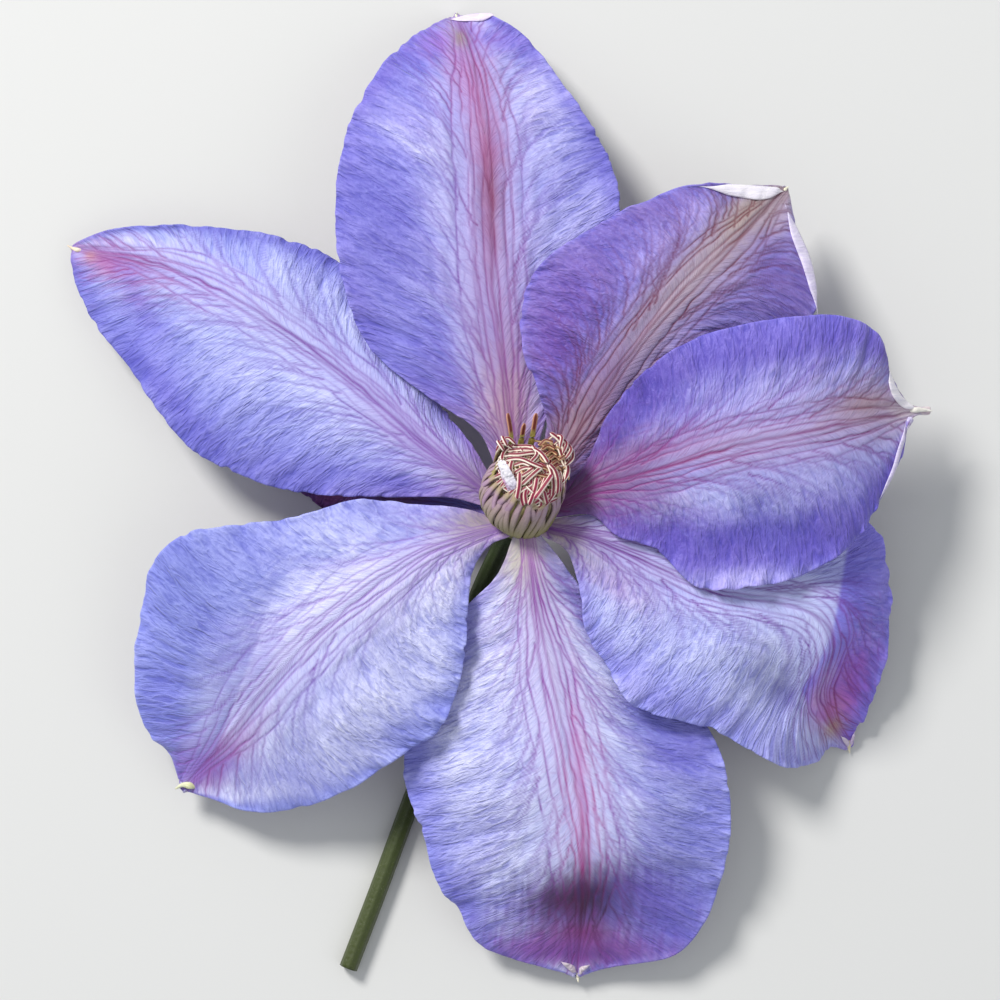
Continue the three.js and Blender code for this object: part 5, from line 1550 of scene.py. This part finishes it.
for _ in range(TANGLED_STAMENS):
    around = rng.uniform(20, 64)
    low = [(4.6, around, -0.1), (6.0, around, 3.0), (6.5, around, 6.4)]
    top = over_dome(around, rng.uniform(60, 84), rng.uniform(-2.4, 2.4), rng.uniform(2.4, 3.4),
                    rng.uniform(-1.5, -0.3))
    boss.append(stamen(low + top, BACK_FILAMENT, DULL_ANTHER, 0.62, rng.uniform(-1, 1)))

stamens = join_tubes("stamen_boss", boss)
put_on_flower(stamens, "stamens",
              plant_material("stamen_tissue", roughness=0.55, depth=0.00005, grain=3200, sheen=0.05))

# Inside the rim the filaments stand so close that they make a wall, olive where no light reaches. Its profile
# goes up the outside and down the inside, and closes on itself.
WALL_PROFILE = [(2.9, 0.1), (4.7, -0.4), (5.6, 2.0), (6.2, 4.6), (5.9, 7.4), (5.2, 8.8), (4.9, 8.2),
                (4.8, 5.2), (3.6, 2.2)]
WALL_SIDES = 96
WALL_OLIVE = (158, 146, 92)
wall_turns = np.arange(WALL_SIDES) * 360 / WALL_SIDES
wall_ribs = 0.025 * np.cos(np.radians(wall_turns * 24))
wall_points = turned(WALL_PROFILE, WALL_SIDES, fullness(wall_turns) + wall_ribs)
wall_total = len(WALL_PROFILE) * WALL_SIDES
wall_faces = [tuple(corner % wall_total for corner in face)
              for face in tube_faces(len(WALL_PROFILE) + 1, WALL_SIDES, capped=False)]
wall = make_mesh("filament_wall", wall_points, wall_faces, np.tile(colour(*WALL_OLIVE), (wall_total, 1)))
put_on_flower(wall, "stamens",
              plant_material("wall_tissue", roughness=0.6, depth=0.0001, grain=1500))


# -------------------------------------------------------------------------------------- petaloid stamen
# One stamen at the left has become a small crumpled petal, white and lilac, that leans on the side of the
# boss. It is a narrow waved strip with a thickness, widest near its free end.

PETALOID_ROUTE = [(-0.3, -4.5, 17.5), (-1, -2.1, 22), (-1.5, 0.3, 25.6), (-1.6, 1.9, 27.6),
                  (-2.1, 3.2, 28.9), (-2.8, 4.7, 29.5), (-3.4, 6.2, 29.7), (-3.8, 7.3, 29.6)]
PETALOID_WIDTHS = [0.8, 0.9, 1.0, 1.7, 2.2, 2.0, 1.9, 1.3]
PETALOID_ROWS, PETALOID_COLUMNS = 90, 31
PETALOID_THICKNESS = 0.34
PETALOID_WHITE = (244, 240, 248)
PETALOID_LILAC = (206, 196, 230)
PETALOID_PINK = (186, 116, 168)

u = np.linspace(0, 1, PETALOID_ROWS)[:, None]
t = np.linspace(-1, 1, PETALOID_COLUMNS)[None, :]
path = guide_curve(PETALOID_ROUTE)(u[:, 0])
along = unit(np.gradient(path, axis=0))
outward = path - CUP_CENTRE
outward = unit(outward - 0.75 * (outward @ CUP_AXIS)[:, None] * CUP_AXIS)
side = unit(np.cross(outward, along))
face = np.cross(along, side)
width = np.interp(u, np.linspace(0, 1, len(PETALOID_WIDTHS)), PETALOID_WIDTHS) * (1 - 0.5 * ease(u, 0.96, 1))
crumple = (0.2 * patchy(u * 16, t * 1.6, 61) + 0.1 * patchy(u * 60, t * 6, 62)) * ease(u, 0.25, 0.6)
bowed = crumple - 0.35 * width * t ** 2 + 0.15
middle = path[:, None] + side[:, None] * (t * width / 2)[..., None] + face[:, None] * bowed[..., None]
thick = face_normals(middle) * PETALOID_THICKNESS / 2
tint = mixed(colour(*PETALOID_WHITE), colour(*PETALOID_LILAC), 1 - ease(u, 0.45, 0.72)[..., None])
pink = ease(t + 0.5 * patchy(u * 9, t * 1.5, 63), 0.0, 0.7) * ease(u, 0.2, 0.45) * (1 - ease(u, 0.62, 0.8))
tint = mixed(tint, colour(*PETALOID_PINK), pink[..., None])
petaloid = make_mesh("crumpled_petaloid", [middle + thick, middle - thick],
                     sheet_faces(PETALOID_ROWS, PETALOID_COLUMNS), [tint, tint])
put_on_flower(petaloid, "petaloid_stamen",
              plant_material("petaloid_tissue", roughness=0.5, depth=0.0001, grain=2200, sheen=0.3))


# ---------------------------------------------------------------------------------------------- carpels
# The carpels stand inside the stamens: a low cushion with a tuft of pointed greenish styles, silky with
# hairs. They are tapered round rods, and the hairs are scattered over them as on the stalk.

CUSHION = [(0.0, 0.0), (2.7, 0.0), (2.9, 0.7), (2.2, 1.7), (1.0, 2.2), (0.0, 2.3)]      # as CUP_PROFILE
CUSHION_SIDES = 32
CUSHION_GREEN = (150, 148, 84)
STYLES = ([(0.05, 0, 9.6)] + [(1.2, 20 + 360 * i / 7, 9.2) for i in range(7)]
          + [(2.2, 5 + 360 * i / 11, 8.4) for i in range(11)])      # how far out, where round, and how tall
STYLE_RADIUS = 0.5
STYLE_RINGS, STYLE_SIDES = 14, 10
STYLE_GREEN = (176, 170, 110)

tuft = [(turned(CUSHION, CUSHION_SIDES), colour(*CUSHION_GREEN))]
s = np.linspace(0, 1, STYLE_RINGS)
for out, around, tall in STYLES:
    path = guide_curve([
        cup_point(out, around, 0.8), cup_point(out * 1.15, around, tall * 0.4),
        cup_point(out * 1.3, around, tall * 0.75), cup_point(out * 1.35 + 0.15, around + 6, tall)])(s)
    taper = STYLE_RADIUS * (1 - 0.7 * s)
    tuft.append((rod(path, taper[:, None], STYLE_SIDES, level=(0.3, 0.2, 1.0)), colour(*STYLE_GREEN)))
carpels = join_tubes("carpel_tuft", tuft)
carpel_down = hair_material("carpel_down", colour(216, 212, 184))
carpel_hairs = grow_hairs("carpel_hairs", carpels, hairs, {
    "Hairs": 4e6, "Length": 0.0011, "Thickness": 0.000028, "Seed": 9, "Material": carpel_down})
put_on_flower(carpels, "carpels",
              plant_material("carpel_tissue", roughness=0.6, depth=0.0001, grain=1800))
put_on_flower(carpel_hairs, "carpels", carpel_down)


# ---------------------------------------------------------------------------------------------- studio
# A plain pale floor under the flower, soft light from above with a little more from the top left, and the
# camera, which looks straight down on the open face.

FLOOR_REACH = 1.5
FLOOR_GREY = (222, 222, 220)

floor_corners = [(x * FLOOR_REACH, y * FLOOR_REACH, 0) for x, y in ((-1, -1), (1, -1), (1, 1), (-1, 1))]
floor_mesh = bpy.data.meshes.new("floor")
floor_mesh.from_pydata(floor_corners, [], [(0, 1, 2, 3)])
floor = bpy.data.objects.new("floor", floor_mesh)
bpy.context.scene.collection.objects.link(floor)
paper, _, _, shader = plain_material("pale_floor")
shader.inputs["Base Color"].default_value = (*colour(*FLOOR_GREY), 1)
shader.inputs["Roughness"].default_value = 0.9
floor_mesh.materials.append(paper)


def soft_light(name, where, size, power, tone):
    """A round soft lamp that looks at the flower."""
    lamp = bpy.data.lights.new(name, "AREA")
    lamp.shape = "DISK"
    lamp.size = size
    lamp.energy = power
    lamp.color = tone
    light = bpy.data.objects.new(name, lamp)
    light.location = where
    direction = -np.array(where) / np.linalg.norm(where)
    light.rotation_euler = (math.acos(-direction[2]), 0, math.atan2(direction[0], -direction[1]) + math.pi)
    bpy.context.scene.collection.objects.link(light)


soft_light("key", (-0.66, 0.78, 0.9), size=0.42, power=18.0, tone=(1.0, 0.985, 0.96))
soft_light("fill", (0.9, -0.5, 1.1), size=1.2, power=2.0, tone=(0.93, 0.96, 1.0))
world = bpy.data.worlds.new("studio")
world.use_nodes = True
world.node_tree.nodes["Background"].inputs["Color"].default_value = (0.9, 0.94, 1.0, 1)
world.node_tree.nodes["Background"].inputs["Strength"].default_value = 0.46
bpy.context.scene.world = world
bpy.context.scene.view_settings.view_transform = "Standard"

lens = bpy.data.cameras.new("camera")
lens.lens = 150.5             # gives the photograph's frame
lens.sensor_width = 36
camera = bpy.data.objects.new("camera", lens)
camera.location = (0.000415, -0.00099, 0.707)
bpy.context.scene.collection.objects.link(camera)
bpy.context.scene.camera = camera
